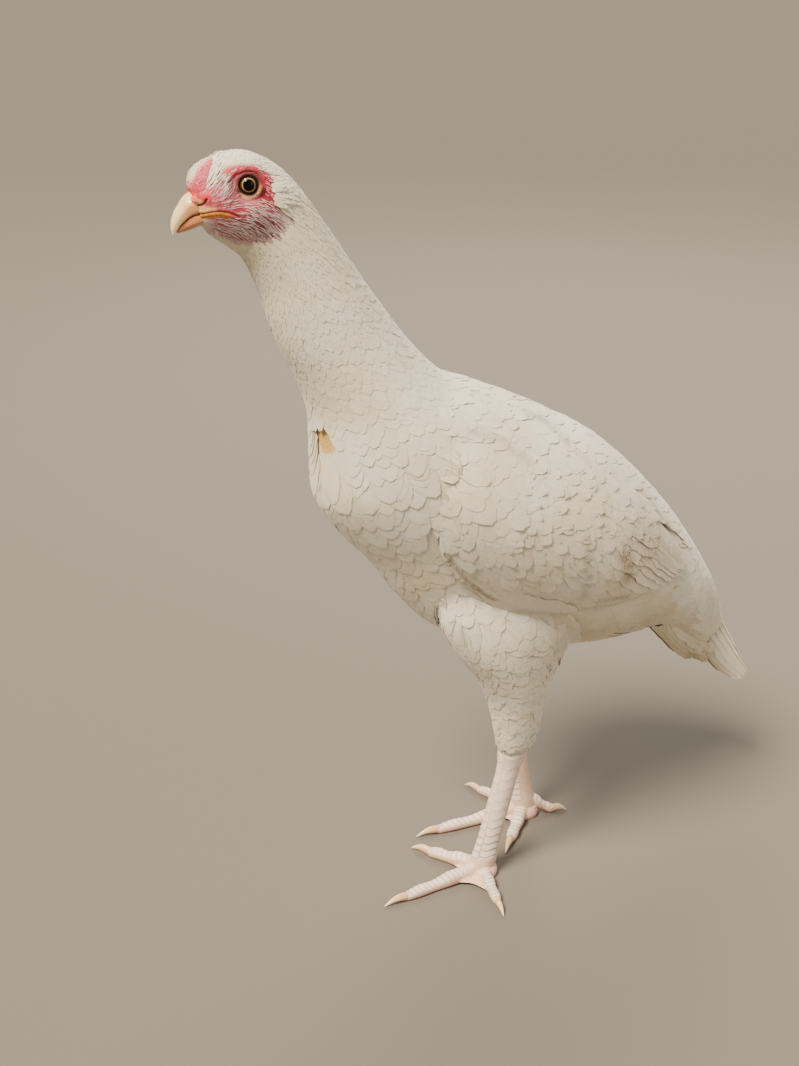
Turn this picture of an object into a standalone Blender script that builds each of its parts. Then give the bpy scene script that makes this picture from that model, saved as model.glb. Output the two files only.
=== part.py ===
"""A life-size white game hen of the aseel type, standing alert with the near leg ahead.

The hen faces -X, its left side is -Y, and its feet stand on Z = 0. Sizes in the
tables are centimetres along three directions: forward, left and up.
"""
import math

import bmesh
import bpy
from mathutils import Vector
from mathutils.bvhtree import BVHTree

CM = 0.01
GAP = 0.03  # cm between touching nodes
# The origin is under the middle of the whole hen, and the tables start between the feet.
MIDDLE_FORWARD = 0.293
MIDDLE_LEFT = 0.0

# Body stations from the bill's root to the tail's root. Each is a plane through the body:
# its point on the back (forward, up), its point on the throat, breast or belly (forward, up),
# its half width, and how much wider it is towards the back.
BODY = (
    (21.05, 50.05, 20.50, 47.95, 0.80, 0.00),
    (20.80, 50.75, 20.25, 47.70, 1.15, 0.00),
    (20.18, 51.36, 19.95, 47.40, 1.45, 0.00),
    (19.30, 51.80, 19.50, 47.05, 1.70, 0.00),
    (18.15, 51.93, 18.95, 46.65, 1.88, 0.00),
    (17.00, 51.63, 18.40, 46.15, 2.00, 0.00),
    (15.80, 50.88, 17.95, 45.50, 2.10, 0.00),
    (14.60, 49.58, 17.65, 44.80, 2.22, 0.00),
    (13.30, 47.70, 17.28, 43.80, 2.42, 0.00),
    (11.70, 45.30, 16.90, 42.30, 2.75, 0.00),
    (9.70, 42.40, 16.20, 40.50, 3.20, 0.00),
    (7.60, 39.70, 15.20, 38.50, 3.80, 0.02),
    (5.50, 37.80, 14.42, 36.10, 4.60, 0.05),
    (2.95, 36.78, 14.30, 33.40, 5.50, 0.08),
    (0.30, 35.60, 14.20, 30.60, 6.10, 0.11),
    (-2.30, 34.25, 12.80, 28.20, 6.50, 0.13),
    (-5.08, 32.70, 10.70, 25.70, 6.70, 0.14),
    (-7.88, 30.42, 8.70, 22.80, 6.60, 0.14),
    (-10.55, 27.74, 6.00, 20.00, 6.20, 0.12),
    (-12.95, 24.90, 1.50, 18.00, 5.50, 0.10),
    (-14.75, 22.40, -4.30, 16.90, 4.60, 0.06),
    (-16.10, 20.30, -8.80, 17.10, 3.60, 0.02),
    (-17.10, 18.40, -12.20, 16.40, 2.60, 0.00),
    (-17.70, 16.40, -14.30, 14.60, 1.80, 0.00),
    (-18.10, 14.90, -15.90, 13.30, 1.05, 0.00),
)
HEAD_END = 7.0  # station where the head meets the neck
NECK_END = 12.0
TORSO_END = 21.0
BODY_SIDES = 26
BODY_RINGS = tuple(k * HEAD_END / 17 for k in range(17))
BODY_RINGS += tuple(HEAD_END + (NECK_END - HEAD_END) * k / 10 for k in range(10))
BODY_RINGS += tuple(NECK_END + (TORSO_END - NECK_END) * k / 18 for k in range(18))
BODY_RINGS += tuple(TORSO_END + (len(BODY) - 1 - TORSO_END) * k / 6 for k in range(7))

# Raised and sunk places on each side of the head: forward, up, reach forward, reach up, height.
HEAD_BUMPS = (
    (18.40, 51.05, 1.10, 0.34, 0.20),  # brow
    (18.15, 50.26, 0.70, 0.62, -0.36),  # socket
    (17.60, 48.60, 1.10, 0.70, 0.16),  # cheek
    (16.60, 49.60, 0.55, 0.60, 0.10),  # feathers over the ear
    (20.75, 49.75, 0.40, 0.30, 0.14),  # flap over the nostril
)

EYE = (18.15, 1.36, 50.28)
EYE_RADIUS = 0.62
EYE_TURN = (0.20, 1.0, 0.06)  # direction the eye looks: forward, left, up
LID_OPENING = math.radians(56)
LID_THICK = 0.075

MOUTH = ((20.95, 48.62), (20.30, 48.74), (19.60, 48.80), (19.05, 48.72), (18.66, 48.55))
MOUTH_GAP = 0.05
NOSTRIL = (20.66, 0.86, 49.42)

# Bill stations: culmen (forward, up), lower edge (forward, up), half width.
UPPER_BILL = (
    (21.05, 50.05, 20.70, 48.72, 0.76),
    (21.42, 49.62, 20.98, 48.66, 0.66),
    (21.72, 49.22, 21.20, 48.54, 0.55),
    (21.98, 48.84, 21.46, 48.34, 0.44),
    (22.15, 48.42, 21.74, 48.06, 0.31),
    (22.20, 48.00, 21.94, 47.80, 0.19),
    (22.14, 47.62, 22.06, 47.58, 0.06),
)
LOWER_BILL = (
    (20.69, 48.68, 20.52, 48.02, 0.66),
    (21.00, 48.60, 20.92, 47.88, 0.55),
    (21.24, 48.44, 21.22, 47.80, 0.44),
    (21.50, 48.22, 21.46, 47.74, 0.32),
    (21.74, 47.98, 21.72, 47.69, 0.20),
    (21.88, 47.80, 21.87, 47.69, 0.09),
)

# The low comb along the forehead: forward, up, half width, height above the brow.
COMB = (
    (20.98, 50.12, 0.30, 0.10),
    (20.84, 50.55, 0.52, 0.20),
    (20.55, 50.97, 0.60, 0.25),
    (20.10, 51.36, 0.52, 0.22),
    (19.55, 51.66, 0.30, 0.10),
)

# Wing ribs from the bend of the wing back to its tip: upper edge (forward, up),
# lower edge (forward, up), and how far the wing's outside stands out from the body.
WING = (
    (7.80, 34.80, 8.50, 30.20, 0.35),
    (5.40, 35.30, 7.70, 27.40, 0.85),
    (1.80, 34.30, 5.80, 25.00, 1.10),
    (-1.80, 32.70, 3.00, 23.30, 1.15),
    (-5.20, 30.60, -0.50, 22.40, 1.05),
    (-8.30, 28.10, -4.50, 21.80, 0.90),
    (-10.80, 25.50, -8.50, 21.30, 0.70),
    (-12.40, 23.40, -11.60, 21.20, 0.45),
)
WING_EDGE = 0.16  # cm that the wing's rim stands out from the body
WING_DEPTH = 1.9  # cm of wing inside its outer face, before the body is cut away
VANE_THICK = 0.075
VANE_TILT = 0.26  # cm by which each vane's free edge stands over the next one

# Tiers of wing vanes: count, first and last root along the wing and across it,
# first and last tip along and across, first and last half width, lift off the wing.
WING_TIERS = {
    "primaries": (4, (0.50, -0.75), (0.42, -0.80), (1.02, -0.30), (0.90, -1.05), 0.85, 0.80, -0.08),
    "secondaries": (6, (0.52, 0.80), (0.24, -0.72), (1.04, 0.55), (0.66, -1.04), 1.25, 0.95, 0.04),
    "great_coverts": (5, (0.34, 0.72), (0.14, -0.60), (0.72, 0.62), (0.40, -0.92), 1.15, 0.80, 0.13),
    "middle_coverts": (5, (0.22, 0.66), (0.08, -0.45), (0.50, 0.62), (0.24, -0.78), 1.00, 0.70, 0.20),
}

# Thigh stations on the left: forward, left, up, half depth, half width.
THIGH = (
    (2.60, 2.90, 24.00, 4.40, 2.30),
    (2.20, 3.10, 21.60, 4.70, 2.75),
    (1.55, 3.20, 19.20, 4.20, 2.75),
    (1.32, 3.15, 17.20, 3.05, 2.45),
    (1.10, 3.05, 15.20, 2.20, 2.10),
    (0.90, 2.95, 13.20, 1.80, 1.75),
    (0.85, 2.90, 11.60, 1.55, 1.45),
    (0.95, 2.88, 10.40, 1.25, 1.15),
)
# Right leg against the left: its hock and foot are further back.
LEFT_HOCK = (0.95, 2.88, 10.40)
LEFT_FOOT = (3.10, 2.70, 0.80)
RIGHT_HOCK = (-1.60, -2.75, 10.50)
RIGHT_FOOT = (-3.25, -2.50, 0.80)
SHANK_DEPTH = 0.86  # half of the shank from front to back
SHANK_WIDTH = 0.68
SHANK_SCUTES = 12
SCUTE_STEP = 0.07

# Toes: name, tip of the toe's flesh on the floor from the foot (forward, left for the left
# foot), half width at the root, scutes, claw length.
TOES = (
    ("hallux", (-1.65, -1.90), 0.48, 4, 1.00),
    ("inner", (2.70, -3.55), 0.52, 7, 1.40),
    ("middle", (6.40, 0.50), 0.50, 11, 1.65),
    ("outer", (0.60, 3.70), 0.45, 8, 1.25),
)
RIGHT_TOE_ENDS = {
    "hallux": (-2.30, 0.80),
    "inner": (2.75, 2.95),
    "middle": (7.35, -0.42),
    "outer": (2.00, -4.00),
}
HALLUX_RISE = 1.00  # how far the hind toe's root stands above the floor
PAD = (1.30, 1.22, 1.05)  # half sizes of the knuckle over the sole
PAD_UP = 0.30
WEB_REACH = 2.3
WEB_UP = 0.18
WEB_THICK = 0.22

# Tail tiers. Each lies round a middle line: the feathers of one side, the line's root
# (forward, up), its slope below level in degrees, the first and last feather's length, their
# places round the line in degrees from the top, and the tier's half depth and half width at
# its root and at its tips, then half of a feather's width.
TAIL_TIERS = {
    "main": (5, (-15.5, 18.3), 59.6, (9.9, 8.9), (24, 146), (0.90, 1.35), (0.50, 1.00), 0.64),
    "over": (2, (-15.3, 18.7), 57.0, (5.4, 5.1), (36, 88), (1.00, 1.12), (1.40, 1.50), 1.00),
    "under": (2, (-13.0, 16.6), 47.0, (4.8, 5.2), (112, 156), (0.80, 0.90), (1.10, 1.25), 0.80),
}
TAIL_LAP = 0.05  # cm by which the left side lies over the right
TAIL_TILT = 0.11  # cm by which a tail feather's lower edge stands off the next one

FEATHER_WHITE = (0.88, 0.86, 0.79)
SKIN_PINK = (0.80, 0.42, 0.42)
COMB_RED = (0.82, 0.30, 0.33)
HORN_CREAM = (0.86, 0.72, 0.50)
SHANK_PINK = (0.80, 0.64, 0.56)
EYE_AMBER = (0.35, 0.20, 0.07)


def place(forward, left, up):
    """A point of the tables in world metres."""
    return Vector((MIDDLE_FORWARD - forward, MIDDLE_LEFT - left, up)) * CM


def direction(forward, left, up):
    return Vector((-forward, -left, up)).normalized()


def clear_scene():
    for old in list(bpy.data.objects):
        bpy.data.objects.remove(old)


def material(name, colour, roughness):
    made = bpy.data.materials.new(name)
    made.use_nodes = True
    shader = made.node_tree.nodes["Principled BSDF"]
    shader.inputs["Base Color"].default_value = (*colour, 1.0)
    shader.inputs["Roughness"].default_value = roughness
    return made


def catmull(rows, where):
    """The row at a fractional index, on a smooth curve through all rows. Past the ends it runs straight."""
    last = len(rows) - 1
    low = min(max(int(math.floor(where)), 0), last - 1)
    part = where - low
    a, b = rows[low], rows[low + 1]
    if part < 0 or part > 1:
        return tuple(p + (q - p) * part for p, q in zip(a, b))
    before = rows[low - 1] if low else tuple(2 * p - q for p, q in zip(a, b))
    after = rows[low + 2] if low + 2 <= last else tuple(2 * q - p for p, q in zip(a, b))
    made = []
    for p0, p1, p2, p3 in zip(before, a, b, after):
        bend = 2 * p0 - 5 * p1 + 4 * p2 - p3 + (3 * p1 - 3 * p2 + p3 - p0) * part
        made.append(p1 + 0.5 * part * (p2 - p0 + part * bend))
    return tuple(made)


def mesh_object(name, points, faces, smooth=True):
    """A closed mesh object whose faces point out."""
    mesh = bpy.data.meshes.new(name)
    mesh.from_pydata([tuple(p) for p in points], [], faces)
    shape = bmesh.new()
    shape.from_mesh(mesh)
    bmesh.ops.recalc_face_normals(shape, faces=shape.faces)
    shape.to_mesh(mesh)
    shape.free()
    if smooth:
        mesh.shade_smooth()
    made = bpy.data.objects.new(name, mesh)
    bpy.context.scene.collection.objects.link(made)
    return made


def loft(name, rings):
    """A closed skin over rings of equal count. Both ends are closed by a fan round their middle."""
    count = len(rings[0])
    points = [p for ring in rings for p in ring]
    faces = []
    for r in range(len(rings) - 1):
        for k in range(count):
            a, b = r * count + k, r * count + (k + 1) % count
            c, d = a + count, b + count
            faces += [(a, b, d), (a, d, c)]
    for start in (0, (len(rings) - 1) * count):
        middle = sum((points[start + k] for k in range(count)), Vector()) / count
        points.append(middle)
        hub = len(points) - 1
        faces += [(start + k, start + (k + 1) % count, hub) for k in range(count)]
    return mesh_object(name, points, faces)


def combine(base, others, operation, solver="EXACT"):
    """Joins or cuts base with all the others in one Boolean, applies it and removes the others."""
    group = bpy.data.collections.new(base.name + "_pieces")
    bpy.context.scene.collection.children.link(group)
    for other in others:
        bpy.context.scene.collection.objects.unlink(other)
        group.objects.link(other)
    step = base.modifiers.new("join", "BOOLEAN")
    step.operation = operation
    step.operand_type = "COLLECTION"
    step.collection = group
    step.solver = solver
    bpy.context.view_layer.update()
    graph = bpy.context.evaluated_depsgraph_get()
    base_new = bpy.data.meshes.new_from_object(base.evaluated_get(graph))
    base.modifiers.clear()
    base.data = base_new
    for other in others:
        bpy.data.objects.remove(other)
    bpy.data.collections.remove(group)
    return base


def keep_largest(obj):
    """Leaves only the closed surface with the most faces."""
    shape = bmesh.new()
    shape.from_mesh(obj.data)
    left = set(shape.faces)
    groups = []
    while left:
        grown = {left.pop()}
        edge = list(grown)
        while edge:
            near = {g for e in edge.pop().edges for g in e.link_faces} & left
            left -= near
            grown |= near
            edge += near
        groups.append(grown)
    biggest = max(groups, key=lambda g: sum(f.calc_area() for f in g))
    drop = [f for g in groups if g is not biggest for f in g]
    bmesh.ops.delete(shape, geom=drop, context="FACES")
    loose = [v for v in shape.verts if not v.link_faces]
    bmesh.ops.delete(shape, geom=loose, context="VERTS")
    shape.to_mesh(obj.data)
    shape.free()
    return obj


def finish(obj, finish_material):
    obj.data.materials.clear()
    obj.data.materials.append(finish_material)
    obj.data.shade_smooth()
    obj.data.set_sharp_from_angle(angle=math.radians(40))
    return obj


def body_ring(station, sides=BODY_SIDES, grow=0.0, shift=0.0):
    """The body's outline at a fractional station, grown outwards and shifted along the body."""
    back_f, back_u, front_f, front_u, width, egg = catmull(BODY, station)
    back, front = Vector((back_f, 0, back_u)), Vector((front_f, 0, front_u))
    middle, upward = (back + front) / 2, (back - front).normalized()
    half = (back - front).length / 2 + grow
    along = Vector((upward.z, 0, -upward.x))  # towards the bill
    points = []
    for k in range(sides):
        turn = 2 * math.pi * k / sides
        rise, out = math.cos(turn), math.sin(turn)
        p = middle + upward * half * rise - along * shift
        left = (width + grow) * out * (1 + egg * rise)
        if station < HEAD_END + 1:
            left += math.copysign(head_bump(p.x, p.z), out) * abs(out) ** 0.5
        points.append(place(p.x, left, p.z))
    return points


def head_bump(forward, up):
    """How far the head's side stands out at a place, over its plain outline."""
    total = 0.0
    for at_f, at_u, reach_f, reach_u, height in HEAD_BUMPS:
        far = ((forward - at_f) / reach_f) ** 2 + ((up - at_u) / reach_u) ** 2
        total += height * math.exp(-far)
    return total


def body_stretch(name, first, last, grow=0.0):
    """The body from one station to another as one solid, with a gap to the piece in front of it.

    A grown stretch is a cutter: it is larger all round, and its gap lies behind it.
    """
    rings = []
    for station in BODY_RINGS:
        if first <= station <= last:
            shift = 0.0
            if grow and station == last:
                shift = 0.8 * GAP
            elif not grow and station == first and first > 0:
                shift = GAP
            rings.append(body_ring(station, grow=grow, shift=shift))
    return loft(name, rings)


def ball(name, centre, radii, turns=20, levels=12, axis=None):
    """An ellipsoid round a world point. The radii are along world X, Y and Z, in metres."""
    points, faces = [], []
    for v in range(1, levels):
        lean = math.pi * v / levels
        for h in range(turns):
            turn = 2 * math.pi * h / turns
            p = Vector((math.sin(lean) * math.cos(turn), math.sin(lean) * math.sin(turn), math.cos(lean)))
            if axis:
                p = axis.to_track_quat("Z", "Y") @ p
            points.append(centre + Vector((p.x * radii[0], p.y * radii[1], p.z * radii[2])))
    for pole in (1, -1):
        p = Vector((0, 0, pole))
        if axis:
            p = axis.to_track_quat("Z", "Y") @ p
        points.append(centre + Vector((p.x * radii[0], p.y * radii[1], p.z * radii[2])))
    top, bottom = len(points) - 2, len(points) - 1
    for h in range(turns):
        nxt = (h + 1) % turns
        faces.append((top, h, nxt))
        for v in range(levels - 2):
            a, b = v * turns + h, v * turns + nxt
            faces += [(a, a + turns, b + turns), (a, b + turns, b)]
        low = (levels - 2) * turns
        faces.append((bottom, low + nxt, low + h))
    return mesh_object(name, points, faces)


def vane(name, rows, thick):
    """One feather: a thin closed strip. Each row runs from edge to edge as pairs of a point and its normal."""
    across = len(rows[0])
    points, faces = [], []
    for row in rows:
        points += [p + normal * thick / 2 for p, normal in row]
        points += [p - normal * thick / 2 for p, normal in row]
    for r in range(len(rows) - 1):
        a, b = r * 2 * across, (r + 1) * 2 * across
        c, d = a + across, b + across
        for i in range(across - 1):
            # Both broad faces take the same diagonal, so that a bent vane never crosses itself.
            faces += [(a + i, a + i + 1, b + i + 1), (a + i, b + i + 1, b + i)]
            faces += [(c + i, d + i + 1, c + i + 1), (c + i, d + i, d + i + 1)]
        for i in (0, across - 1):
            faces += [(a + i, b + i, d + i), (a + i, d + i, c + i)]
    for a in (0, (len(rows) - 1) * 2 * across):
        for i in range(across - 1):
            c = a + across + i
            faces += [(a + i, a + i + 1, c + 1), (a + i, c + 1, c)]
    return mesh_object(name, points, faces, smooth=False)


VANE_STEPS = (0.0, 0.48, 0.86, 1.0)  # places along a feather
VANE_SHAPE = (0.55, 1.0, 0.86, 0.26)  # its width there


class Wing:
    """The wing's outer face. along runs from the bend at 0 to the tip at 1, across from the lower edge at -1 to the upper at 1."""

    def __init__(self, torso, side):
        self.side = side
        tree = BVHTree.FromObject(torso, bpy.context.evaluated_depsgraph_get())
        self.ribs = []
        for up_f, up_u, low_f, low_u, out in WING:
            mid_f, mid_u = (up_f + low_f) / 2, (up_u + low_u) / 2
            low = self.body_left(tree, low_f, low_u) + WING_EDGE
            middle = self.body_left(tree, mid_f, mid_u) + out
            high = self.body_left(tree, up_f, up_u) + WING_EDGE
            self.ribs.append((up_f, up_u, low_f, low_u, low, middle, high))

    def body_left(self, tree, forward, up):
        """How far the torso reaches sideways at a place seen from the side, in centimetres."""
        start = place(forward, 30, up)
        hit = tree.ray_cast(start, Vector((0, 1, 0)))[0]
        return MIDDLE_LEFT - hit.y / CM

    def table_point(self, along, across):
        up_f, up_u, low_f, low_u, low, middle, high = catmull(self.ribs, along * (len(WING) - 1))
        t = (across + 1) / 2
        left = low * (1 - t) * (1 - 2 * t) + 4 * middle * t * (1 - t) + high * t * (2 * t - 1)
        return low_f + (up_f - low_f) * t, left * self.side, low_u + (up_u - low_u) * t

    def point(self, along, across, lift=0.0):
        """A world point at a place on the wing, lifted off it along its normal, in centimetres."""
        at = place(*self.table_point(along, across))
        if not lift:
            return at
        return at + self.normal(along, across) * lift * CM

    def normal(self, along, across):
        step = 0.02
        a = place(*self.table_point(along + step, across)) - place(*self.table_point(along - step, across))
        b = place(*self.table_point(along, across + step)) - place(*self.table_point(along, across - step))
        out = a.cross(b).normalized()
        return out if out.y * self.side < 0 else -out


def wing_core(wing, name):
    """The wing's body: its outer face, and an inner face that reaches into the torso."""
    rows, columns = 11, 6
    outer, inner = [], []
    for r in range(rows):
        along = 0.92 * r / (rows - 1)
        for c in range(columns):
            across = -0.96 + 1.92 * c / (columns - 1)
            rim = (1 - abs(across) ** 3) * min(1.0, 6 * along / 0.92 + 0.12)
            outer.append(wing.point(along, across, -0.06))
            inner.append(wing.point(along, across, -0.22 - WING_DEPTH * rim * (1 - 0.55 * along)))
    points = outer + inner
    size = rows * columns
    faces = []
    for r in range(rows - 1):
        for c in range(columns - 1):
            a = r * columns + c
            b, d = a + 1, a + columns
            e = d + 1
            faces += [(a, b, e), (a, e, d)]
            faces += [(a + size, e + size, b + size), (a + size, d + size, e + size)]
    ring = [c for c in range(columns)]
    ring += [r * columns + columns - 1 for r in range(1, rows)]
    ring += [(rows - 1) * columns + c for c in range(columns - 2, -1, -1)]
    ring += [r * columns for r in range(rows - 2, 0, -1)]
    for k, a in enumerate(ring):
        b = ring[(k + 1) % len(ring)]
        faces += [(a, b, b + size), (a, b + size, a + size)]
    return mesh_object(name, points, faces)


def wing_vanes(wing, name, tier):
    """One tier of feathers, from the uppermost down. Each one's lower edge lies over the next."""
    count, root_a, root_b, tip_a, tip_b, wide_a, wide_b, lift = WING_TIERS[tier]
    made = []
    for k in range(count):
        t = k / (count - 1)
        root = tuple(p + (q - p) * t for p, q in zip(root_a, root_b))
        tip = tuple(p + (q - p) * t for p, q in zip(tip_a, tip_b))
        half = (wide_a + (wide_b - wide_a) * t) * CM
        middles, normals, acrosses = [], [], []
        for s in VANE_STEPS:
            along, across = (p + (q - p) * s for p, q in zip(root, tip))
            sunk = lift - 0.45 * (1 - s) ** 3
            middles.append(wing.point(along, across, sunk))
            normals.append(wing.normal(along, across))
        for i, normal in enumerate(normals):
            ahead = middles[min(i + 1, len(middles) - 1)] - middles[max(i - 1, 0)]
            across = ahead.cross(normal).normalized()
            if across.z > 0:
                across = -across  # towards the lower edge
            lean = VANE_TILT * CM / (2 * half)
            across = (across + normal * lean).normalized()
            acrosses.append(across)
            normals[i] = (normal - across * normal.dot(across)).normalized()
        halves = [half * w for w in VANE_SHAPE]
        rows = [
            [(m - a * h, n), (m + a * h, n)] for m, a, h, n in zip(middles, acrosses, halves, normals)
        ]
        made.append(vane(f"{name}_{tier}_{k}", rows, VANE_THICK * CM))
    return made


def make_wing(torso, name, side):
    wing = Wing(torso, side)
    core = wing_core(wing, name)
    vanes = [v for tier in WING_TIERS for v in wing_vanes(wing, name, tier)]
    combine(core, vanes, "UNION")
    cutter = body_stretch("cut", NECK_END, len(BODY) - 1, grow=GAP)
    combine(core, [cutter], "DIFFERENCE")
    return keep_largest(core)


def wing_shadow(side):
    """A block that holds all the space of the wing, seen from the side, for clearing the thigh."""
    edge = [(row[0], row[1]) for row in WING] + [(row[2], row[3]) for row in reversed(WING)]
    middle = (sum(p[0] for p in edge) / len(edge), sum(p[1] for p in edge) / len(edge))
    rings = []
    for left in (1.0, 12.0):
        ring = []
        for f, u in edge:
            away = Vector((f - middle[0], u - middle[1])).normalized() * 0.75
            ring.append(place(f + away.x, left * side, u + away.y))
        rings.append(ring)
    return loft("wing_shadow", rings)


def tail_vanes(tier, side):
    """One side's feathers of one tail tier, from the uppermost down, bent round the tier's middle line."""
    count, (root_f, root_u), slope, lengths, turns, depths, widths, half = TAIL_TIERS[tier]
    slope = math.radians(slope)
    ahead = direction(-math.cos(slope), 0, -math.sin(slope))
    topside, outside = direction(-math.sin(slope), 0, math.cos(slope)), direction(0, side, 0)
    made = []
    for k in range(count):
        t = k / (count - 1)
        middle_turn = math.radians(turns[0] + (turns[1] - turns[0]) * t)
        length = lengths[0] + (lengths[1] - lengths[0]) * t
        rows = []
        for s, shape in zip(VANE_STEPS, VANE_SHAPE):
            deep = depths[0] + (depths[1] - depths[0]) * s
            wide = widths[0] + (widths[1] - widths[0]) * s
            at = place(root_f, 0, root_u) + ahead * length * s * CM
            row = []
            for edge in (-1, 0, 1):
                turn = middle_turn + edge * half * shape / math.hypot(deep, wide) * 1.41
                normal = (topside * math.cos(turn) / deep + outside * math.sin(turn) / wide).normalized()
                out = topside * (deep * math.cos(turn) + TAIL_LAP * side) + outside * wide * math.sin(turn)
                row.append((at + (out + normal * TAIL_TILT * edge) * CM, normal))
            rows.append(row)
        made.append(vane(f"{tier}_{side}_{k}", rows, VANE_THICK * CM))
    return made


def make_tail(core):
    """Joins the main tail feathers and the coverts over and under them to the tail's root."""
    pieces = [v for tier in TAIL_TIERS for side in (1, -1) for v in tail_vanes(tier, side)]
    combine(core, pieces, "UNION")
    return keep_largest(core)


def make_head():
    """The head: its outline with brow, cheeks and lids, opened at the eyes, nostrils and mouth."""
    head = body_stretch("head", 0, HEAD_END)
    extra, cutters = [], []
    for side in (1, -1):
        looks = direction(EYE_TURN[0], EYE_TURN[1] * side, EYE_TURN[2])
        centre = place(EYE[0], EYE[1] * side, EYE[2])
        extra.append(lid_ring(centre, looks))
        cutters.append(ball("eye_hole", centre, (((EYE_RADIUS + GAP) * CM),) * 3, 16, 10, looks))
        nostril = place(NOSTRIL[0], NOSTRIL[1] * side, NOSTRIL[2])
        cutters.append(ball("nostril_hole", nostril, (0.26 * CM, 0.22 * CM, 0.08 * CM), 8, 6))
        cutters.append(mouth_cutter(side))
    combine(head, extra, "UNION")
    combine(head, cutters, "DIFFERENCE")
    return keep_largest(head)


def lid_ring(centre, looks):
    """A rim of skin round the eye, lying on the eyeball."""
    across = looks.orthogonal().normalized()
    up = looks.cross(across)
    turns, around = 16, 5
    points, faces = [], []
    reach = (EYE_RADIUS + 0.02) * CM
    for t in range(turns):
        turn = 2 * math.pi * t / turns
        out = across * math.cos(turn) + up * math.sin(turn)
        middle = centre + looks * reach * math.cos(LID_OPENING) + out * reach * math.sin(LID_OPENING)
        for s in range(around):
            lean = 2 * math.pi * s / around
            step = out * math.cos(lean) + looks * math.sin(lean)
            points.append(middle + step * LID_THICK * CM * (1.0 if math.cos(lean) < 0.1 else 1.8))
    for t in range(turns):
        for s in range(around):
            a = t * around + s
            b = t * around + (s + 1) % around
            c = ((t + 1) % turns) * around + s
            d = ((t + 1) % turns) * around + (s + 1) % around
            faces += [(a, b, d), (a, d, c)]
    return mesh_object("lid", points, faces)


def mouth_cutter(side):
    """A thin blade along the line of the mouth, from the bill back to its corner."""
    rings = []
    for forward, up in MOUTH:
        half = MOUTH_GAP / 2
        rings.append([
            place(forward, side * 0.62, up - half), place(forward, side * 2.6, up - half),
            place(forward, side * 2.6, up + half), place(forward, side * 0.62, up + half),
        ])
    return loft("mouth_cut", rings)


def make_bill(name, rows, sharp):
    """Half of the bill: a horn shell, ridged along the culmen, that curves to its tip."""
    sides, steps = 12, 9
    rings = []
    for r in range(steps + 1):
        top_f, top_u, low_f, low_u, wide = catmull(rows, (len(rows) - 1) * r / steps)
        top, low = Vector((top_f, 0, top_u)), Vector((low_f, 0, low_u))
        middle, upward = (top + low) / 2, (top - low) / 2
        ring = []
        for k in range(sides):
            turn = 2 * math.pi * k / sides
            rise, out = math.cos(turn), math.sin(turn)
            narrow = 1 - 0.35 * max(rise * sharp, 0.0) ** 2
            if rise * sharp < 0:  # the side that closes on the other half is flat
                rise = math.copysign(abs(rise) ** 0.35, rise)
                out = math.copysign(abs(out) ** 0.6, out)
            p = middle + upward * rise
            ring.append(place(p.x, wide * out * narrow, p.z))
        rings.append(ring)
    return loft(name, rings)


def make_comb():
    """The pea comb: a low cushion along the forehead with three rows of small peas."""
    steps, sides = 12, 12
    rings = []
    for r in range(steps + 1):
        forward, up, wide, high = catmull(COMB, (len(COMB) - 1) * r / steps)
        ahead_f, ahead_u = (p - q for p, q in zip(catmull(COMB, (len(COMB) - 1) * r / steps + 0.1)[:2], (forward, up)))
        out = Vector((ahead_u, 0, -ahead_f)).normalized()  # away from the skull
        pea = 1 + 0.07 * math.cos(r * math.pi)
        ring = []
        for k in range(sides):
            turn = 2 * math.pi * k / sides
            rise, side = math.sin(turn), math.cos(turn)
            rows = 0.82 + 0.18 * math.cos(3 * math.pi * side)
            p = Vector((forward, 0, up)) + out * high * (rise * rows * pea if rise > 0 else rise * 1.6)
            ring.append(place(p.x, wide * side * pea, p.z))
        rings.append(ring)
    comb = loft("comb", rings)
    combine(comb, [body_stretch("cut", 0, HEAD_END, grow=GAP)], "DIFFERENCE")
    return keep_largest(comb)


def thigh_rows(hock):
    """The thigh's stations, leaned so that the last one sits on the given hock."""
    side = math.copysign(1.0, hock[1])
    rows = []
    last = THIGH[-1]
    for forward, left, up, deep, wide in THIGH:
        share = min(max((THIGH[1][2] - up) / (THIGH[1][2] - last[2]), 0.0), 1.0)
        rows.append((
            forward + (hock[0] - last[0]) * share,
            side * (left + (abs(hock[1]) - last[1]) * share),
            up + (hock[2] - last[2]) * share,
            deep, wide,
        ))
    return rows


def make_thigh(name, hock):
    rows = thigh_rows(hock)
    steps, sides = 15, 18
    rings = []
    for r in range(steps + 1):
        forward, left, up, deep, wide = catmull(rows, (len(rows) - 1) * r / steps)
        ring = []
        for k in range(sides):
            turn = 2 * math.pi * k / sides
            ring.append(place(forward + deep * math.cos(turn), left + wide * math.sin(turn), up))
        rings.append(ring)
    thigh = loft(name, rings)
    side = math.copysign(1.0, hock[1])
    middle_cut = loft("middle_cut", [[
        place(f, side * left, u) for f, u in ((-20, 5), (20, 5), (20, 30), (-20, 30))
    ] for left in (-9.0, 0.25)])
    cutter = body_stretch("cut", NECK_END, len(BODY) - 1, grow=GAP)
    combine(thigh, [cutter, wing_shadow(side), middle_cut], "DIFFERENCE")
    return keep_largest(thigh)


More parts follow.
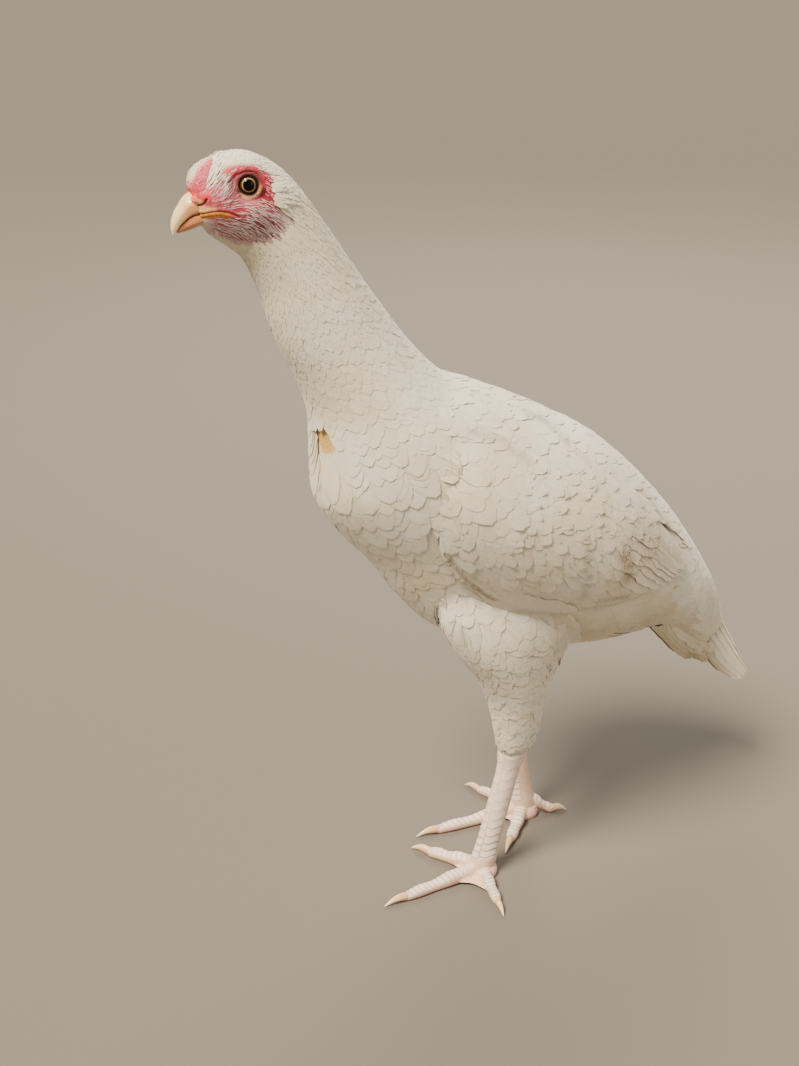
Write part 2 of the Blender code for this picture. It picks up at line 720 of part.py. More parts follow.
def shank_ring(hock, foot, share, grow, sides, bump, shift):
    """One ring of the shank. share runs from the hock at 0 to the sole at 1."""
    ahead = Vector(foot) - Vector(hock)
    middle = Vector(hock) + ahead * share
    joint = 0.28 * math.exp(-(share / 0.10) ** 2) + 0.12 * math.exp(-((share - 0.95) / 0.10) ** 2)
    ring = []
    for k in range(sides):
        turn = 2 * math.pi * k / sides
        front, out = math.cos(turn), math.sin(turn)
        raised = bump if front > -0.2 else 0.25 * bump
        deep = SHANK_DEPTH + joint + grow + raised
        wide = SHANK_WIDTH + joint + grow + raised
        row_shift = shift * (1 if out > 0.05 else -1 if out < -0.05 else 0) if front > -0.2 else 0.0
        ring.append(place(middle.x + deep * front, middle.y + wide * out, middle.z + row_shift))
    return ring


def shank_loft(name, hock, foot, grow=0.0):
    """The scaly shank. Each scute is raised at its lower edge, and the two front rows alternate."""
    rings = []
    pitch = 0.90 / SHANK_SCUTES
    height = abs(hock[2] - foot[2])
    rings.append(shank_ring(hock, foot, 0.003, grow, 12, 0.0, 0.0))
    for k in range(SHANK_SCUTES):
        top = 0.05 + pitch * k
        shift = 0.25 * pitch * height
        rings.append(shank_ring(hock, foot, top + 0.12 * pitch, grow, 12, 0.0, shift))
        rings.append(shank_ring(hock, foot, top + 0.92 * pitch, grow, 12, SCUTE_STEP, shift))
    rings.append(shank_ring(hock, foot, 1.0, grow, 12, 0.0, 0.0))
    return loft(name, rings)


def toe_frame(foot, end):
    """The toe's start, its direction on the floor and its length, in table centimetres."""
    start = Vector((foot[0], foot[1]))
    ahead = Vector(end)
    return start, ahead.normalized(), ahead.length


def toe_ring(start, ahead, reach, half, high, bump, grow, lift=0.0):
    """One ring across a toe. Its sole is flat on the floor, and its top is arched."""
    across = Vector((-ahead.y, ahead.x))
    middle = start + ahead * reach
    ring = []
    for side, up, top in (
        (-0.72, 0.0, 0), (-1.0, 0.32, 0), (-0.86, 0.72, 1), (-0.42, 0.97, 1),
        (0.42, 0.97, 1), (0.86, 0.72, 1), (1.0, 0.32, 0), (0.72, 0.0, 0),
    ):
        wide = (half + grow + bump * top) * side
        rise = high * up + (grow + bump) * top if up else -grow
        p = middle + across * wide
        ring.append(place(p.x, p.y, rise + lift))
    return ring


def toe_loft(name, foot, end, half, scutes, grow=0.0):
    """A toe with its scutes as steps across the top, joints slightly thicker."""
    start, ahead, length = toe_frame(foot, end)
    rise = HALLUX_RISE if name.endswith("hallux") else 0.0
    rings = []
    first = 0.35
    for k in range(scutes):
        for part, bump in ((0.10, 0.0), (0.92, SCUTE_STEP * 0.8)):
            share = (k + part) / scutes
            reach = first + (length - first) * share
            slim = 1 - 0.30 * share + 0.05 * math.cos(share * 5 * math.pi)
            lift = rise * max(0.0, 1 - share / 0.8)
            high = 1.8 * half * slim * (1 + 0.5 * (1 - share) ** 2)
            rings.append(toe_ring(start, ahead, reach, half * slim, high, bump, grow, lift))
    slim = 0.55
    rings.append(toe_ring(start, ahead, length, half * slim, 1.8 * half * slim, 0.0, grow))
    return loft(name, rings)


def make_claw(name, foot, end, half, claw):
    """A curved horn claw that starts at the toe's end and reaches the floor at its tip."""
    start, ahead, length = toe_frame(foot, end)
    across = Vector((-ahead.y, ahead.x))
    steps, sides, base = 5, 8, 0.42 * half
    rings = []
    for k in range(steps + 1):
        share = k / steps
        p = start + ahead * (length + GAP + claw * share)
        rise = base * 1.35 + 0.16 * math.sin(share * math.pi) - (base * 1.35 - 0.11) * share ** 1.4
        size = base * (1 - 0.86 * share ** 1.3)
        ring = []
        for s in range(sides):
            turn = 2 * math.pi * s / sides
            side = p + across * size * math.cos(turn)
            ring.append(place(side.x, side.y, rise + size * math.sin(turn)))
        rings.append(ring)
    return loft(name, rings)


def foot_pad(name, foot, grow=0.0):
    radii = tuple((r + grow) * CM for r in PAD)
    centre = place(foot[0], foot[1], PAD_UP)
    pad = ball(name, centre, radii, 16, 8)
    for v in pad.data.vertices:
        v.co.z = max(v.co.z, -grow * CM)
    return pad


def foot_web(foot, end_a, end_b, name):
    """The skin between two toes, with a hollow edge. It is a slab whose corner is under the shank."""
    a, b = Vector(end_a).normalized(), Vector(end_b).normalized()
    outline = [Vector((0.0, 0.0))]
    steps = 6
    for k in range(steps + 1):
        t = k / steps
        way = (a * (1 - t) + b * t).normalized()
        outline.append(way * WEB_REACH * (1 - 0.62 * math.sin(t * math.pi)))
    count = len(outline)
    points = [place(foot[0] + p.x, foot[1] + p.y, up) for up in (WEB_UP, WEB_UP + WEB_THICK) for p in outline]
    faces = []
    for k in range(1, count - 1):
        faces += [(0, k, k + 1), (count, count + k, count + k + 1)]
    for k in range(count):
        n = (k + 1) % count
        faces += [(k, n, n + count), (k, n + count, k + count)]
    return mesh_object(name, points, faces)


def make_foot(side_name, hock, foot, ends):
    """The shank with its sole and webs, the four toes and their claws."""
    made = {}
    shank = shank_loft(f"shank_{side_name}", hock, foot)
    webs = []
    for first, second in (("inner", "middle"), ("middle", "outer")):
        web = foot_web(foot, ends[first], ends[second], "web")
        near = [toe_loft("near", foot, ends[n], h, s, GAP) for n, _, h, s, _ in TOES if n in (first, second)]
        combine(web, near, "DIFFERENCE")
        webs.append(keep_largest(web))
    combine(shank, [foot_pad("pad", foot), *webs], "UNION")
    made["shank"] = keep_largest(shank)
    for toe, _, half, scutes, claw in TOES:
        solid = toe_loft(f"toe_{side_name}_{toe}", foot, ends[toe], half, scutes)
        cutters = [foot_pad("pad_cut", foot, GAP), shank_loft("shank_cut", hock, foot, GAP)]
        combine(solid, cutters, "DIFFERENCE")
        made[toe] = keep_largest(solid)
        made["claw_" + toe] = make_claw(f"claw_{side_name}_{toe}", foot, ends[toe], half, claw)
    return made


def main():
    clear_scene()
    feathers = material("white_feathers", FEATHER_WHITE, 0.7)
    skin = material("face_skin", SKIN_PINK, 0.55)
    comb_skin = material("comb_skin", COMB_RED, 0.5)
    horn = material("bill_and_claw_horn", HORN_CREAM, 0.4)
    scales = material("leg_scales", SHANK_PINK, 0.5)
    iris = material("amber_eye", EYE_AMBER, 0.1)

    torso = body_stretch("torso", NECK_END, TORSO_END)
    finish(make_wing(torso, "wing_left", 1), feathers)
    finish(make_wing(torso, "wing_right", -1), feathers)
    finish(torso, feathers)
    finish(body_stretch("neck", HEAD_END, NECK_END), feathers)
    finish(make_tail(body_stretch("tail", TORSO_END, len(BODY) - 1)), feathers)
    finish(make_head(), skin)
    finish(make_comb(), comb_skin)
    for name, rows, sharp in (("bill_upper", UPPER_BILL, 1), ("bill_lower", LOWER_BILL, -1)):
        moved = [(r[0] + GAP, r[1], r[2] + GAP, r[3], r[4]) for r in rows]
        finish(make_bill(name, moved, sharp), horn)
    for name, side in (("eye_left", 1), ("eye_right", -1)):
        looks = direction(EYE_TURN[0], EYE_TURN[1] * side, EYE_TURN[2])
        centre = place(EYE[0], EYE[1] * side, EYE[2])
        finish(ball(name, centre, (EYE_RADIUS * CM,) * 3, 16, 9, looks), iris)

    left_ends = {toe: end for toe, end, _, _, _ in TOES}
    for name, hock, foot, ends in (
        ("left", LEFT_HOCK, LEFT_FOOT, left_ends),
        ("right", RIGHT_HOCK, RIGHT_FOOT, RIGHT_TOE_ENDS),
    ):
        finish(make_thigh(f"thigh_{name}", hock), feathers)
        for piece, made in make_foot(name, hock, foot, ends).items():
            finish(made, horn if piece.startswith("claw") else scales)


main()
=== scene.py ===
# %% [markdown]
# # A white game hen, built feather by feather
# The hen stands as a museum model would: life-size, alert, with its weight on both feet.
# A hard-feathered breed carries a short, tight coat, so the body's outline shows through it.
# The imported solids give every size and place. This script dresses them: one skin under the
# coat, then feathers as real thin sheets, and last the horn, scales and eyes.

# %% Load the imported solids
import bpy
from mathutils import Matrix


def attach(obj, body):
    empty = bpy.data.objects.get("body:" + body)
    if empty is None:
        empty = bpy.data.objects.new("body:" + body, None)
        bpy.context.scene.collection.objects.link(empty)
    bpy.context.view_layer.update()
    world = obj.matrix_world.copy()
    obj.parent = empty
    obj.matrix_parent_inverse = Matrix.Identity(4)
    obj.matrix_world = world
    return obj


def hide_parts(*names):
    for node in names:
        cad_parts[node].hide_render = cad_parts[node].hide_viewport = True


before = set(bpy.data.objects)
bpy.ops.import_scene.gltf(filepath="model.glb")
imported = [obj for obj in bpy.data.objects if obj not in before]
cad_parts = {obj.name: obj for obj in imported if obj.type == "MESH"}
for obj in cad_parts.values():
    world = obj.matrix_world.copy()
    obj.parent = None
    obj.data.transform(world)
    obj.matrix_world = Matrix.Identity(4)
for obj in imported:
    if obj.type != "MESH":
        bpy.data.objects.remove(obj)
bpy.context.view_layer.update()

# %% [markdown]
# ## Tools used all through
# Sizes come from tables in centimetres along three directions: forward, left and up.
# The hen faces -X and its left side is -Y. One function turns table numbers into metres
# of the scene. Another one reads a table between its rows, on a smooth curve, because an
# animal has no straight stretches. Numpy does this for thousands of places at once.

# %% Places, tables and colours
import math

import bmesh
import bpy
import numpy as np
from mathutils import Vector
from mathutils.bvhtree import BVHTree

CM = 0.01
MM = 0.001
COAT_DEPTH = 2.2 * MM  # how far the skin lies inside the solids' surface
MIDDLE_FORWARD = 0.293  # cm from the tables' start to the middle of the hen
SIDES = ((1, "left"), (-1, "right"))


def place(forward, left, up):
    """World places, in metres, of table places in centimetres."""
    forward, left = np.asarray(forward, float), np.asarray(left, float)
    return np.stack(np.broadcast_arrays(MIDDLE_FORWARD - forward, -left, up), -1) * CM


def smooth_rows(table, where):
    """Rows of a table at fractional places, on a smooth curve through all of them."""
    rows, where = np.asarray(table, float), np.asarray(where, float)
    last = len(rows) - 1
    low = np.clip(np.floor(where).astype(int), 0, last - 1)
    t = (where - low)[..., None]
    p1, p2 = rows[low], rows[low + 1]
    p0 = np.where((low > 0)[..., None], rows[np.maximum(low - 1, 0)], 2 * p1 - p2)
    p3 = np.where((low + 2 <= last)[..., None], rows[np.minimum(low + 2, last)], 2 * p2 - p1)
    bend = 2 * p0 - 5 * p1 + 4 * p2 - p3 + (3 * p1 - 3 * p2 + p3 - p0) * t
    curve = p1 + 0.5 * t * (p2 - p0 + t * bend)
    return np.where((t < 0) | (t > 1), p1 + (p2 - p1) * t, curve)


def unit(vectors):
    return vectors / np.maximum(np.linalg.norm(vectors, axis=-1, keepdims=True), 1e-12)


def dot(a, b):
    return (a * b).sum(-1, keepdims=True)


def between(ends, share):
    """From the first of two numbers to the second one, evenly."""
    return ends[0] + (ends[1] - ends[0]) * share


def step_between(low, high, value):
    """A smooth step from 0 at low to 1 at high."""
    t = np.clip((np.asarray(value, float) - low) / (high - low), 0, 1)
    return t * t * (3 - 2 * t)


def turns(count):
    """Evenly spaced angles of a full circle."""
    return np.arange(count) * 2 * np.pi / count


def colour(code):
    """A linear colour from an sRGB hex code."""
    parts = [int(code[k:k + 2], 16) / 255 for k in (1, 3, 5)]
    return tuple(c / 12.92 if c <= 0.04045 else ((c + 0.055) / 1.055) ** 2.4 for c in parts) + (1.0,)


def add_node(tree, kind, inputs=None, **settings):
    """Adds one node. Each input is given as a value, or as another node's socket to link from."""
    made = tree.nodes.new(kind)
    for key, value in settings.items():
        setattr(made, key, value)
    for key, value in (inputs or {}).items():
        if isinstance(value, bpy.types.NodeSocket):
            tree.links.new(value, made.inputs[key])
        else:
            made.inputs[key].default_value = value
    return made


def new_material(name, inputs):
    """A material, its nodes and its shader, with the shader's inputs that are the same all over."""
    made = bpy.data.materials.new(name)
    made.use_nodes = True
    shader = made.node_tree.nodes["Principled BSDF"]
    for key, value in inputs.items():
        shader.inputs[key].default_value = value
    return made, made.node_tree, shader


print("one centimetre forward of the tables' start:", place(1, 0, 0))

# %% [markdown]
# ## Camera
# The photograph looks down a little on the hen's left side, from about knee height.
# Matching the lens and the place keeps every foreshortened part, such as the tail, true.

# %% Camera
VIEW_FROM = Vector((-0.400 + MIDDLE_FORWARD * CM, -0.7075, 0.617))
VIEW_ALONG = Vector((0.3715, 0.8345, -0.4067))
camera = bpy.data.objects.new("camera", bpy.data.cameras.new("camera"))
bpy.context.scene.collection.objects.link(camera)
camera.data.lens = 43.9
camera.data.sensor_width = 36
camera.location = VIEW_FROM
camera.rotation_euler = VIEW_ALONG.to_track_quat("-Z", "Y").to_euler()
bpy.context.scene.camera = camera
print("camera from the hen, m:", round(VIEW_FROM.length, 2))

# %% [markdown]
# ## Mesh makers
# Most pieces start as a grid of points: rings along a body part, or rows along a feather.
# Writing the arrays straight into the mesh is far quicker than adding faces one by one.

# %% Mesh makers


def mesh_piece(name, points, faces, finish=None):
    """An object from arrays of points and of four-cornered faces."""
    mesh = bpy.data.meshes.new(name)
    points, faces = np.asarray(points, np.float32).reshape(-1, 3), np.asarray(faces, np.int32)
    mesh.vertices.add(len(points))
    mesh.vertices.foreach_set("co", points.ravel())
    mesh.loops.add(faces.size)
    mesh.loops.foreach_set("vertex_index", faces.ravel())
    mesh.polygons.add(len(faces))
    mesh.polygons.foreach_set("loop_start", np.arange(0, faces.size, faces.shape[1], dtype=np.int32))
    mesh.update(calc_edges=True)
    mesh.validate()
    mesh.shade_smooth()
    made = bpy.data.objects.new(name, mesh)
    bpy.context.scene.collection.objects.link(made)
    if finish:
        mesh.materials.append(finish)
    return made


def points_of(obj):
    """An object's points, in metres."""
    co = np.empty(len(obj.data.vertices) * 3)
    obj.data.vertices.foreach_get("co", co)
    return co.reshape(-1, 3)


def normals_of(obj):
    """The way out of the surface at each point of an object."""
    return np.array([v.vector for v in obj.data.vertex_normals])


def move_points(obj, points):
    obj.data.vertices.foreach_set("co", points.ravel())
    obj.data.update()


def keep_numbers(obj, name, values):
    """Keeps one number for each point of an object, for its finish to read."""
    layer = obj.data.attributes.new(name, "FLOAT", "POINT")
    layer.data.foreach_set("value", values.astype(np.float32))


def grid_faces(rows, columns, closed):
    """Faces of a grid of points. A closed grid joins its last column to its first."""
    index = np.arange(rows * columns).reshape(rows, columns)
    if closed:
        index = np.concatenate([index, index[:, :1]], 1)
    return np.stack([index[:-1, :-1], index[:-1, 1:], index[1:, 1:], index[1:, :-1]], -1).reshape(-1, 4)


def tube(name, rings, finish=None):
    """A closed piece from rings of points, with each end drawn in to its middle."""
    rings = np.asarray(rings, float)
    first, last = rings[:1].mean(1, keepdims=True), rings[-1:].mean(1, keepdims=True)
    inner = [first + (rings[:1] - first) * s for s in (0.02, 0.5)]
    outer = [last + (rings[-1:] - last) * s for s in (0.5, 0.02)]
    rings = np.concatenate([*inner, rings, *outer])
    rows, columns = rings.shape[:2]
    made = mesh_piece(name, rings, grid_faces(rows, columns, True), finish)
    shape = bmesh.new()
    shape.from_mesh(made.data)
    bmesh.ops.holes_fill(shape, edges=[e for e in shape.edges if e.is_boundary], sides=0)
    bmesh.ops.recalc_face_normals(shape, faces=shape.faces)
    shape.to_mesh(made.data)
    shape.free()
    made.data.shade_smooth()
    return made


def settled(obj):
    """Applies an object's modifiers."""
    bpy.context.view_layer.update()
    seen = obj.evaluated_get(bpy.context.evaluated_depsgraph_get())
    mesh = bpy.data.meshes.new_from_object(seen)
    obj.modifiers.clear()
    obj.data = mesh
    return obj


def joined(name, pieces):
    """One object from several, which are removed."""
    base = pieces[0]
    with bpy.context.temp_override(active_object=base, object=base, selected_editable_objects=pieces):
        bpy.ops.object.join()
    base.name = base.data.name = name
    return base


def fused(name, pieces, voxel, smooth=0):
    """One closed surface round overlapping pieces, made again from voxels and smoothed."""
    base = joined(name, pieces)
    again = base.modifiers.new("again", "REMESH")
    again.mode, again.voxel_size, again.use_smooth_shade = "VOXEL", voxel, True
    if smooth:
        even = base.modifiers.new("even", "SMOOTH")
        even.factor, even.iterations = 0.5, smooth
    return settled(base)


# %% [markdown]
# ## The hen's form
# Under the coat lies one plain form, from the bill to the tail's root. Each row of the
# table is a plane through the body: a point on the back, one on the throat or belly, and
# the half width. A ring of points on each plane makes the surface. The rows are the same
# as the solids', so the dressed hen keeps their size.

# %% Body form
# Back or crown (forward, up), belly or throat (forward, up), half width, and how much more
# of that width lies high.
BODY = (
    (21.05, 50.05, 20.50, 47.95, 0.80, 0.00),
    (20.80, 50.75, 20.25, 47.70, 1.15, 0.00),
    (20.18, 51.36, 19.95, 47.40, 1.45, 0.00),
    (19.30, 51.80, 19.50, 47.05, 1.70, 0.00),
    (18.15, 51.93, 18.95, 46.65, 1.88, 0.00),
    (17.00, 51.63, 18.40, 46.15, 2.00, 0.00),
    (15.80, 50.88, 17.95, 45.50, 2.10, 0.00),
    (14.60, 49.58, 17.65, 44.80, 2.22, 0.00),
    (13.30, 47.70, 17.28, 43.80, 2.42, 0.00),
    (11.70, 45.30, 16.90, 42.30, 2.75, 0.00),
    (9.70, 42.40, 16.20, 40.50, 3.20, 0.00),
    (7.60, 39.70, 15.20, 38.50, 3.80, 0.02),
    (5.50, 37.80, 14.42, 36.10, 4.60, 0.05),
    (2.95, 36.78, 14.30, 33.40, 5.50, 0.08),
    (0.30, 35.60, 14.20, 30.60, 6.10, 0.11),
    (-2.30, 34.25, 12.80, 28.20, 6.50, 0.13),
    (-5.08, 32.70, 10.70, 25.70, 6.70, 0.14),
    (-7.88, 30.42, 8.70, 22.80, 6.60, 0.14),
    (-10.55, 27.74, 6.00, 20.00, 6.20, 0.12),
    (-12.95, 24.90, 1.50, 18.00, 5.50, 0.10),
    (-14.75, 22.40, -4.30, 16.90, 4.60, 0.06),
    (-16.10, 20.30, -8.80, 17.10, 3.60, 0.02),
    (-17.10, 18.40, -12.20, 16.40, 2.60, 0.00),
    (-17.70, 16.40, -14.30, 14.60, 1.80, 0.00),
    (-18.10, 14.90, -15.90, 13.30, 1.05, 0.00),
)
# Centre (forward, up), reach (forward, up) and height of what swells or hollows the head's side.
HEAD_BUMPS = (
    (18.40, 51.05, 1.10, 0.34, 0.20),  # brow
    (18.15, 50.26, 0.80, 0.72, -0.30),  # socket
    (17.60, 48.60, 1.10, 0.70, 0.16),  # cheek
    (16.60, 49.60, 0.55, 0.60, 0.10),  # feathers over the ear
    (20.75, 49.75, 0.40, 0.30, 0.14),  # flap over the nostril
)


def head_bump(forward, up):
    """How far the head's side stands out at a place, over its plain outline."""
    total = 0.0
    for at_f, at_u, reach_f, reach_u, height in HEAD_BUMPS:
        total = total + height * np.exp(-((forward - at_f) / reach_f) ** 2 - ((up - at_u) / reach_u) ** 2)
    return total


def on_ring(row, rise):
    """Forward and up on a ring: at the row's first point where rise is 1, at its second at -1."""
    return [(row[..., k] * (1 + rise) + row[..., k + 2] * (1 - rise)) / 2 for k in (0, 1)]


def body_point(station, turn):
    """Places on the body. turn is 0 along the back, a quarter circle on the left side."""
    station, turn = np.broadcast_arrays(station, turn)
    row = smooth_rows(BODY, station)
    rise, out = np.cos(turn), np.sin(turn)
    forward, up = on_ring(row, rise)
    left = row[..., 4] * out * (1 + row[..., 5] * rise)
    near_head = 1 - step_between(7.6, 8.4, station)
    left = left + head_bump(forward, up) * np.sign(out) * np.sqrt(np.abs(out)) * near_head
    return place(forward, left, up)


# Centre (forward, left, up), half depth and half width of the left thigh, downward.
THIGH = (
    (2.60, 2.90, 24.00, 4.40, 2.30),
    (2.20, 3.10, 21.60, 4.70, 2.75),
    (1.55, 3.20, 19.20, 4.20, 2.75),
    (1.32, 3.15, 17.20, 3.05, 2.45),
    (1.10, 3.05, 15.20, 2.20, 2.10),
    (0.90, 2.95, 13.20, 1.80, 1.75),
    (0.85, 2.90, 11.60, 1.55, 1.45),
    (0.95, 2.88, 10.40, 1.25, 1.15),
)
# Where each hock and each foot is, by side.
HOCK = {1: (0.95, 2.88, 10.40), -1: (-1.60, -2.75, 10.50)}
FOOT = {1: (3.10, 2.70, 0.80), -1: (-3.25, -2.50, 0.80)}


def thigh_point(side, station, turn):
    """Places on a thigh, leaned so that it ends at that side's hock. side is 1 on the left."""
    station, turn = np.broadcast_arrays(station, turn)
    row, last, hock = smooth_rows(THIGH, station), THIGH[-1], HOCK[side]
    share = np.clip((THIGH[1][2] - row[..., 2]) / (THIGH[1][2] - last[2]), 0, 1)
    forward = row[..., 0] + (hock[0] - last[0]) * share + row[..., 3] * np.cos(turn)
    left = side * (row[..., 1] + (abs(hock[1]) - last[1]) * share) + row[..., 4] * np.sin(turn)
    return place(forward, left, row[..., 2] + (hock[2] - last[2]) * share)


def plain_form(name, stations, thigh_end):
    """The body and both thighs as one closed surface."""
    parts = [tube("body_form", body_point(stations[:, None], turns(120)[None]))]
    for side, _ in SIDES:
        rings = thigh_point(side, np.linspace(0, thigh_end, 60)[:, None], turns(60)[None])
        parts.append(tube("thigh_form", rings))
    return fused(name, parts, 2.0 * MM, smooth=12)


form = plain_form("form", np.linspace(0, 24, 300), 7)
print("form:", len(form.data.polygons), "faces")

# %% [markdown]
# ## A surface to lay feathers on
# A feather follows what it lies on. A search tree finds the nearest place on a mesh, and
# the mesh's corner normals say which way is out there. The unwrap of the skin is kept
# too, because each feather is later painted from the place where it is rooted.

# %% Surface to lay feathers on


def unwrap(obj):
    """Unwraps an object by the lie of its faces."""
    obj.data.uv_layers.new(name="OFBake")
    with bpy.context.temp_override(active_object=obj, object=obj, selected_objects=[obj]):
        bpy.context.view_layer.objects.active = obj
        bpy.ops.object.mode_set(mode="EDIT")
        bpy.ops.mesh.select_all(action="SELECT")
        bpy.ops.uv.smart_project(angle_limit=math.radians(60), island_margin=0.002)
        bpy.ops.object.mode_set(mode="OBJECT")


class Surface:
    """Finds the nearest places on a mesh."""

    def __init__(self, *objects, without=()):
        points, faces, normals, patches, first = [], [], [], [], 0
        for obj in objects:
            mesh, out = obj.data, normals_of(obj)
            uv = np.zeros(len(mesh.loops) * 2)
            if mesh.uv_layers.get("OFBake"):
                mesh.uv_layers["OFBake"].uv.foreach_get("vector", uv)
            uv = uv.reshape(-1, 2)
            left_out = set(without) if obj == objects[0] else ()
            for face in mesh.polygons:
                if face.index in left_out:
                    continue
                faces.append([first + v for v in face.vertices])
                normals.append(out[list(face.vertices)].mean(0))
                patches.append(uv[face.loop_start])
            points.append(points_of(obj))
            first += len(mesh.vertices)
        self.tree = BVHTree.FromPolygons(np.concatenate(points).tolist(), faces)
        self.normals, self.patches = unit(np.array(normals)), np.array(patches)

    def nearest(self, places):
        """The nearest places, the normals there and the numbers of the faces."""
        found = [self.tree.find_nearest(p) for p in places.tolist()]
        face = np.array([f[2] for f in found])
        return np.array([tuple(f[0]) for f in found]), self.normals[face], face

    def patches_at(self, places):
        """The places on the mesh's unwrap that lie nearest."""
        return self.patches[self.nearest(places)[2]]

    def inside(self, places):
        """How deep each place is inside the surface. Outside, the depth is negative."""
        at, out, _ = self.nearest(places)
        return dot(at - places, out)[:, 0]


unwrap(form)
form_surface = Surface(form)
print("faces to lay feathers on:", len(form_surface.patches))

# %% [markdown]
# ## Stains and painted shade
# A living hen's coat isn't evenly clean: the feathers that rub on the ground go brown, and
# the wing's lower edge and rear are painted browner. Other places are painted darker as
# painted shade: the crease where the breast meets the wing, the middle of the folded wing,
# the belly under it and the thigh. Each mark is laid on a line seen from the side, and it
# fades away from the line as a soft brush mark does. Every vane asks here how much of the
# marks it carries, so a mark runs on from feather to feather.

# %% Stains and painted shade


def line_distance(forward, up, line):
    """How far places seen from the side lie from a line of points."""
    places, best = np.stack([forward, up], -1), np.full(len(forward), 99.0)
    for a, b in zip(np.array(line[:-1]), np.array(line[1:])):
        share = np.clip(((places - a) @ (b - a)) / ((b - a) @ (b - a)), 0, 1)
        best = np.minimum(best, np.linalg.norm(places - a - share[:, None] * (b - a), axis=1))
    return best


# A line seen from the side (forward, up), how far its mark reaches and how strong it is.
# Some lines are painted shade, as marked below.
SOILED_AND_SHADED = (
    # painted shade: the crease where the breast meets the wing's front edge
    (((7.7, 27.7), (6.6, 26.1), (5.0, 24.5), (4.4, 24.1)), 0.14, 0.85),
    (((2.8, 23.0), (-0.6, 22.2), (-4.5, 22.0), (-7.0, 22.4)), 0.30, 0.35),
    (((-4.1, 26.4), (-4.7, 24.4)), 0.55, 0.60),
    (((-5.6, 26.9), (-8.0, 24.8), (-9.6, 23.8)), 1.5, 0.42),
    (((-3.0, 22.9), (-5.2, 22.7)), 0.30, 0.60),
    (((-0.9, 28.2), (-1.5, 23.6)), 0.35, 0.40),
    (((6.2, 35.6), (4.2, 34.8), (2.6, 33.5)), 0.25, 0.45),
    (((1.2, 35.4), (-0.2, 34.7), (-1.3, 33.4)), 0.25, 0.45),
    (((-7.4, 29.2), (-9.6, 26.2)), 0.16, 0.50),
    (((-14.8, 14.6), (-16.4, 12.9)), 0.9, 0.30),
    # painted shade: the middle and rear of the folded wing
    (((1.5, 28.6), (-7.0, 26.0)), 3.2, 0.26),
    # painted shade: the belly under the wing
    (((1.0, 19.8), (-9.5, 18.8)), 1.6, 0.45),
    # painted shade: the thigh
    (((3.5, 21.5), (2.0, 15.0)), 2.6, 0.12),
)


def soil_and_shade(places):
    """How much stains and painted shade darken the coat at world places, from 0 to 1."""
    f, u, total = MIDDLE_FORWARD - places[:, 0] / CM, places[:, 2] / CM, 0
    for line, reach, strength in SOILED_AND_SHADED:
        total = total + strength * np.exp(-(line_distance(f, u, line) / reach) ** 2)
    return np.clip(total, 0, 1)


# The count of lines of stains and painted shade.
print("soiled lines:", len(SOILED_AND_SHADED))

# %% [markdown]
# ## One vane
# A feather is a shaft with two soft webs, made of barbs that run out and forward from it.
# Here it is a closed, very thin sheet: a top and an underside that share their rim. Its
# root is sunk in the coat and its tip stands a little proud, so rows of them overlap like
# roof tiles and none cuts through another. The middle is crowned, the edges bend down,
# and the rim is uneven, because the outermost barbs of a real feather part from each other.

# %% Vane maker
# Outlines: how far along the vane, and its half width there against the widest one.
ROUND_TIP = ((0, 0.34), (0.2, 0.66), (0.45, 0.95), (0.68, 1.0), (0.84, 0.86), (0.94, 0.60),
             (1.0, 0.22))
LONG_TIP = ((0, 0.42), (0.15, 0.80), (0.4, 1.0), (0.75, 0.98), (0.9, 0.82), (0.97, 0.52),
            (1.0, 0.20))
NARROW_TIP = ((0, 0.5), (0.3, 1.0), (0.6, 0.92), (0.85, 0.60), (1.0, 0.12))
POINTED_TIP = ((0, 0.42), (0.15, 0.80), (0.4, 1.0), (0.68, 0.95), (0.84, 0.70), (0.94, 0.36),
               (1.0, 0.06))
VANE_THICKNESS = 0.10 * MM


def vane_faces(rows, columns):
    """Faces of one closed vane, and how many points it has. Both sheets share their rim."""
    top = np.arange((rows + 1) * columns).reshape(rows + 1, columns)
    under = top.copy()
    inner = (rows - 1) * (columns - 2)
    under[1:-1, 1:-1] = top.size + np.arange(inner).reshape(rows - 1, columns - 2)
    sheets = []
    for index, order in ((top, (0, 1, 2, 3)), (under, (3, 2, 1, 0))):
        corners = (index[:-1, :-1], index[1:, :-1], index[1:, 1:], index[:-1, 1:])
        sheets.append(np.stack([corners[k] for k in order], -1).reshape(-1, 4))
    return np.concatenate(sheets), top.size + inner


